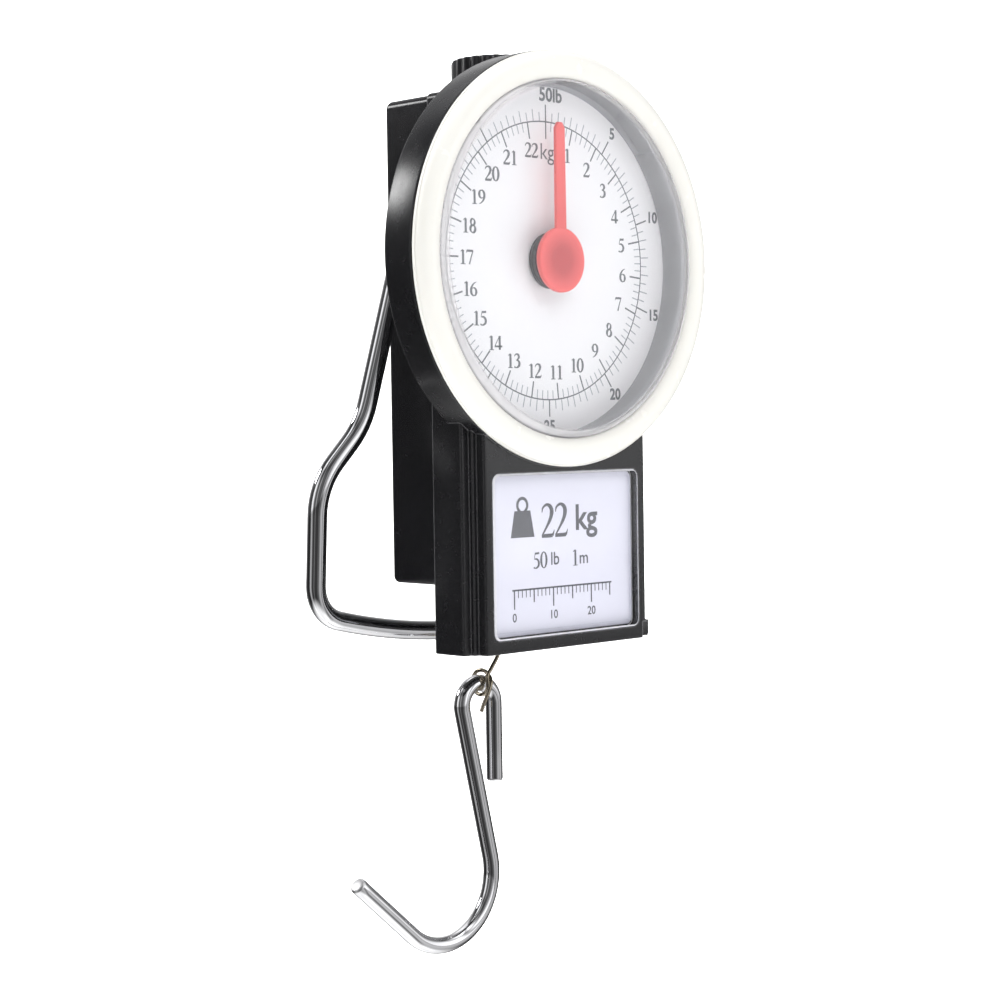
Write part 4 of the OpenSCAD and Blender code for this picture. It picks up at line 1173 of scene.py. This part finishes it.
# ---------------------------------------------------------------- zero knob
def knob():
    n = 240
    def prof_r(t, deep):
        ph = (t * 24 / (2 * pi)) % 1.0
        x = (ph - 0.5) * 2
        g = max(0.0, 1 - (x / 0.62) ** 2)
        return 8.5 - deep * g ** 0.6
    z0, z1 = 29.5, 37.9
    secs = []
    for z, inset, deep in [(z0, 0.5, 0), (z0 + 0.12, 0.2, 0), (z0 + 0.4, 0, 0), (z0 + 1.2, 0, 0), (z0 + 1.5, 0, 0.45), (z0 + 1.75, 0, 0.62), (z1 - 0.6, 0, 0.62), (z1 - 0.3, 0.1, 0.6), (z1 - 0.08, 0.35, 0.5), (z1, 0.7, 0.35)]:
        secs.append([((prof_r(2 * pi * i / n, deep) - inset) * cos(2 * pi * i / n), Y_MECH + (prof_r(2 * pi * i / n, deep) - inset) * sin(2 * pi * i / n), z) for i in range(n)])
    for z, r in [(z1, 6.4), (z1 - 0.05, 5.5), (z1 - 0.25, 5.25), (z1 - 0.5, 5.15)]:
        secs.append([(r * cos(2 * pi * i / n), Y_MECH + r * sin(2 * pi * i / n), z) for i in range(n)])
    return loft("zero_knob_fluted", secs, M_KNOB, 45)
kb = knob()
boolean(kb, cyl(1.5, 28.5, 35.5, "Z", (0, Y_MECH, 0)))
tidy(kb, 45)
finish_piece(kb, "zero_knob", ("zero_knob",))

# ---------------------------------------------------------------- tape
tab = cad_copy("tape_tab", "tape_end_tab", M_CASE, "tape", 0.14, 3)
TZ = -55.3 - 12.3 - 0.05
blade_v, blade_f = [], []
nx = 160
for i in range(nx + 1):
    x = 0.0 + 23.85 * i / nx
    for yy, zz in ((-19.6, TZ - 0.28), (-17.2, TZ - 0.30), (-14.8, TZ - 0.28), (-14.8, TZ), (-17.2, TZ - 0.02), (-19.6, TZ)):
        blade_v.append((x, yy, zz))
for i in range(nx):
    for k in range(6):
        j = (k + 1) % 6
        blade_f.append((i * 6 + k, i * 6 + j, i * 6 + 6 + j, i * 6 + 6 + k))
blade_f.append(tuple(range(6)))
blade_f.append(tuple(nx * 6 + k for k in range(6)))
blade = mesh("tape_strip", blade_v, blade_f, M_TAPE, 30)
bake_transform(blade)
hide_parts("tape_blade")

# ---------------------------------------------------------------- springs as true coils
def coil(x):
    P = []
    half = 21 * 1.3 / 2
    rm = 2.65
    turns = 20.6
    n = int(turns * 20)
    top = []
    zc = half + rm - 0.65
    for i in range(0, 15):
        a = radians(-60 + 330 * i / 14)
        top.append(Vector((x, Y_MECH + rm * sin(a), zc + rm * cos(a))))
    body = []
    for i in range(n + 1):
        t = 2 * pi * turns * i / n
        body.append(Vector((x + rm * cos(t + pi / 2), Y_MECH + rm * sin(t + pi / 2), (half - 0.65) - (2 * half - 1.3) * i / n)))
    bot = []
    for i in range(0, 15):
        a = radians(210 - 330 * i / 14)
        bot.append(Vector((x, Y_MECH + rm * sin(a), -zc + rm * cos(a))))
    # the hooks are bent-up ends of the coil; it is drawn in two lengths that meet where the spring stands still,
    # the top at the anchor and the bottom at the draw bar
    up = top + body[1:159]
    low = [body[158].lerp(body[159], 0.03)] + body[159:] + bot[1:]
    return up, low
for nm, x in (("spring_left", -10), ("spring_right", 10)):
    up, low = coil(x)
    st = tube(nm + "_top", up, 0.62, M_SPRING, 10, 0.0)
    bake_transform(st)
    sp = tube(nm + "_coil", low, 0.62, M_SPRING, 10, 0.0)
    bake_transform(sp)
    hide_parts(nm)

# ---------------------------------------------------------------- the rest keep the CAD shape, some with broken edges and the others with only a new material
for node, mat, body, slot, w in (
        ("chassis_plate", M_PRESS, "case", "pressed_steel", 0.12), ("rack_bar", M_PRESS, "draw_bar", "pressed_steel", 0.04),
        ("spring_anchor", M_PRESS, "zero_anchor", "pressed_steel", 0.10), ("rack_guide", M_ACETAL, "case", "acetal", 0.08),
        ("tape_cover", M_CASE, "case", "case_black", 0.10), ("tape_reel", M_ACETAL, "reel", "acetal", 0.06)):
    cad_copy(node, node + "_part", mat, body, w, 2)
for node, mat in (("case_screws", M_ZINC), ("chassis_screws", M_ZINC), ("tape_cover_screws", M_ZINC), ("tab_rivets", M_ZINC), ("reel_axle", M_ZINC),
                  ("front_bush", M_BRASS), ("rear_bush", M_BRASS), ("thrust_washer", M_BRASS), ("pinion", M_BRASS), ("zero_nut", M_BRASS),
                  ("pointer_shaft", M_ZINC), ("zero_screw", M_ZINC), ("tape_power_spring", M_BLUED), ("tape_coil", M_TAPE)):
    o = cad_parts[node]
    o.data.materials.clear()
    o.data.materials.append(mat)

# ---------------------------------------------------------------- stage, light, camera
def stage_mat(name, c):
    k = NM(name)
    n = k.noise(3, 3, 0.5)
    k.set("Base Color", k.mix(n, (c * 0.985, c * 0.985, c * 0.985, 1), (c, c, c, 1)))
    k.put(Roughness=0.9)
    k.b.inputs["Specular IOR Level"].default_value = 0.0
    k.b.inputs["Emission Color"].default_value = (1, 1, 1, 1)
    k.b.inputs["Emission Strength"].default_value = 0.45
    return k.m

# a pale floor that curves up into a pale backdrop
zf = -0.150
sec = [(-1.6, zf), (0.9, zf)] + [(0.9 + 0.5 * sin(radians(t)), zf + 0.5 - 0.5 * cos(radians(t))) for t in range(6, 91, 6)] + [(1.4, 2.6)]
d0 = Vector((0.69641, 0.71664, 0)).normalized()
s0 = Vector((0.71716, -0.69691, 0)).normalized()
vs, fs = [], []
for k, (u, z) in enumerate(sec):
    for s in (-2.5, 2.5):
        p = d0 * u + s0 * s
        vs.append((p.x / MM, p.y / MM, z / MM))
for k in range(len(sec) - 1):
    fs.append((2 * k, 2 * k + 1, 2 * k + 3, 2 * k + 2))
floor = mesh("floor", vs, fs, stage_mat("stage_pale", 0.94), 60)
floor.visible_glossy = False

world = bpy.data.worlds.new("studio")
SC.world = world
world.use_nodes = True
wt = world.node_tree
wt.nodes.clear()
wo = wt.nodes.new("ShaderNodeOutputWorld")
bg = wt.nodes.new("ShaderNodeBackground")
bgl = wt.nodes.new("ShaderNodeBackground")
mixw = wt.nodes.new("ShaderNodeMixShader")
lp = wt.nodes.new("ShaderNodeLightPath")
bg.inputs["Color"].default_value = (1.0, 1.0, 1.0, 1)
bg.inputs["Strength"].default_value = 0.42
# what shiny surfaces see: a studio of soft panels and dark gaps, by direction
tcw = wt.nodes.new("ShaderNodeTexCoord")
sepw = wt.nodes.new("ShaderNodeSeparateXYZ")
wt.links.new(tcw.outputs["Generated"], sepw.inputs[0])
azn = wt.nodes.new("ShaderNodeMath"); azn.operation = "ARCTAN2"
wt.links.new(sepw.outputs["X"], azn.inputs[0]); wt.links.new(sepw.outputs["Y"], azn.inputs[1])
azr = wt.nodes.new("ShaderNodeMapRange")
azr.inputs["From Min"].default_value = -pi; azr.inputs["From Max"].default_value = pi
wt.links.new(azn.outputs[0], azr.inputs["Value"])
# azimuth measured from +Y towards +X, as a share of the turn: 0 = -Y side (front) wraps at 0 and 1
ramp = wt.nodes.new("ShaderNodeValToRGB")
ramp.color_ramp.interpolation = "EASE"
stops = [(0.00, 1.0), (0.02, 0.6), (0.04, 0.18), (0.06, 0.35), (0.085, 0.10), (0.13, 0.12), (0.155, 0.10), (0.175, 0.45), (0.205, 0.12), (0.235, 0.10), (0.262, 0.5), (0.29, 1.4), (0.315, 0.9), (0.335, 0.06), (0.40, 0.06),
         (0.45, 0.15), (0.52, 0.8), (0.60, 1.0), (0.68, 0.3), (0.75, 0.1), (0.80, 0.3), (0.85, 1.2), (0.90, 1.6), (0.93, 0.5), (0.965, 1.5), (1.0, 1.0)]
el = ramp.color_ramp.elements
while len(el) < len(stops):
    el.new(0.5)
for e_, (p_, v_) in zip(el, stops):
    e_.position = p_
    e_.color = (v_, v_, v_ * 1.01, 1)
wt.links.new(azr.outputs[0], ramp.inputs["Fac"])
zr = wt.nodes.new("ShaderNodeValToRGB")
zr.color_ramp.interpolation = "EASE"
zs = [(0.0, 0.3), (0.18, 0.35), (0.36, 0.42), (0.44, 0.35), (0.48, 0.9), (0.70, 1.0), (0.82, 0.5), (0.90, 1.2), (1.0, 1.3)]
el = zr.color_ramp.elements
while len(el) < len(zs):
    el.new(0.5)
for e_, (p_, v_) in zip(el, zs):
    e_.position = p_
    e_.color = (v_, v_, v_, 1)
zm = wt.nodes.new("ShaderNodeMapRange")
zm.inputs["From Min"].default_value = -1; zm.inputs["From Max"].default_value = 1
wt.links.new(sepw.outputs["Z"], zm.inputs["Value"])
wt.links.new(zm.outputs[0], zr.inputs["Fac"])
mul = wt.nodes.new("ShaderNodeMix"); mul.data_type = "RGBA"; mul.blend_type = "MULTIPLY"
mul.inputs[0].default_value = 1.0
wt.links.new(ramp.outputs[0], mul.inputs[6]); wt.links.new(zr.outputs[0], mul.inputs[7])
fl = wt.nodes.new("ShaderNodeValToRGB")
fl.color_ramp.interpolation = "EASE"
fl.color_ramp.elements[0].position = 0.04
fl.color_ramp.elements[0].color = (1.1, 1.1, 1.1, 1)
fl.color_ramp.elements[1].position = 0.20
fl.color_ramp.elements[1].color = (0, 0, 0, 1)
wt.links.new(zm.outputs[0], fl.inputs["Fac"])
addf = wt.nodes.new("ShaderNodeMix"); addf.data_type = "RGBA"; addf.blend_type = "ADD"
addf.inputs[0].default_value = 1.0
wt.links.new(mul.outputs[2], addf.inputs[6]); wt.links.new(fl.outputs[0], addf.inputs[7])
wt.links.new(addf.outputs[2], bgl.inputs["Color"])
bgl.inputs["Strength"].default_value = 1.0
wt.links.new(lp.outputs["Is Glossy Ray"], mixw.inputs[0])
wt.links.new(bg.outputs[0], mixw.inputs[1]); wt.links.new(bgl.outputs[0], mixw.inputs[2])
bgc = wt.nodes.new("ShaderNodeBackground")
bgc.inputs["Color"].default_value = (1, 1, 1, 1)
bgc.inputs["Strength"].default_value = 1.0
mixc = wt.nodes.new("ShaderNodeMixShader")
wt.links.new(lp.outputs["Is Camera Ray"], mixc.inputs[0])
wt.links.new(mixw.outputs[0], mixc.inputs[1]); wt.links.new(bgc.outputs[0], mixc.inputs[2])
wt.links.new(mixc.outputs[0], wo.inputs[0])


def area(name, loc, aim, size, power, glossy=True, color=(1, 1, 1)):
    L = bpy.data.lights.new(name, "AREA")
    L.shape = "RECTANGLE"
    L.size, L.size_y = size
    L.energy = power
    L.color = color
    o = link(bpy.data.objects.new(name, L))
    o.location = loc
    o.rotation_euler = (Vector(aim) - Vector(loc)).to_track_quat("-Z", "Y").to_euler()
    o.visible_glossy = glossy
    return o

area("band_light", (-0.55, 0.88, 0.52), (0, 0, 0.01), (0.30, 0.24), 2.6, True)
area("key", (-0.25, -0.75, 0.55), (0, 0, -0.02), (0.5, 0.5), 2.3, False)
area("fill", (0.70, -0.55, 0.10), (0, 0, -0.03), (0.5, 0.7), 0.9, False)
area("back_wash", (-0.2, 0.35, 0.9), (0.9, 1.2, 0.1), (1.2, 0.6), 26.0, False)
area("floor_wash", (-0.2, -0.2, 1.2), (0.0, 0.0, zf), (1.6, 1.6), 12.0, False)

cam = bpy.data.cameras.new("cam")
cam.sensor_width = 36
cam.lens = 77.21
cam.clip_start, cam.clip_end = 0.01, 20
co = link(bpy.data.objects.new("cam", cam))
fw = Vector((0.69641, 0.71664, -0.03804)).normalized()
r0 = Vector((0.71716, -0.69691, 0)).normalized()
u0 = Vector((0.02651, 0.02728, 0.99929)).normalized()
rt = (r0 * 0.99989 - u0 * 0.01501).normalized()
up = rt.cross(fw).normalized()
mw = Matrix(((rt.x, up.x, -fw.x, -0.28073), (rt.y, up.y, -fw.y, -0.29460), (rt.z, up.z, -fw.z, -0.02857), (0, 0, 0, 1)))
co.matrix_world = mw
SC.camera = co
SC.view_settings.view_transform = "Standard"
SC.view_settings.look = "None"
SC.view_settings.exposure = 0.0
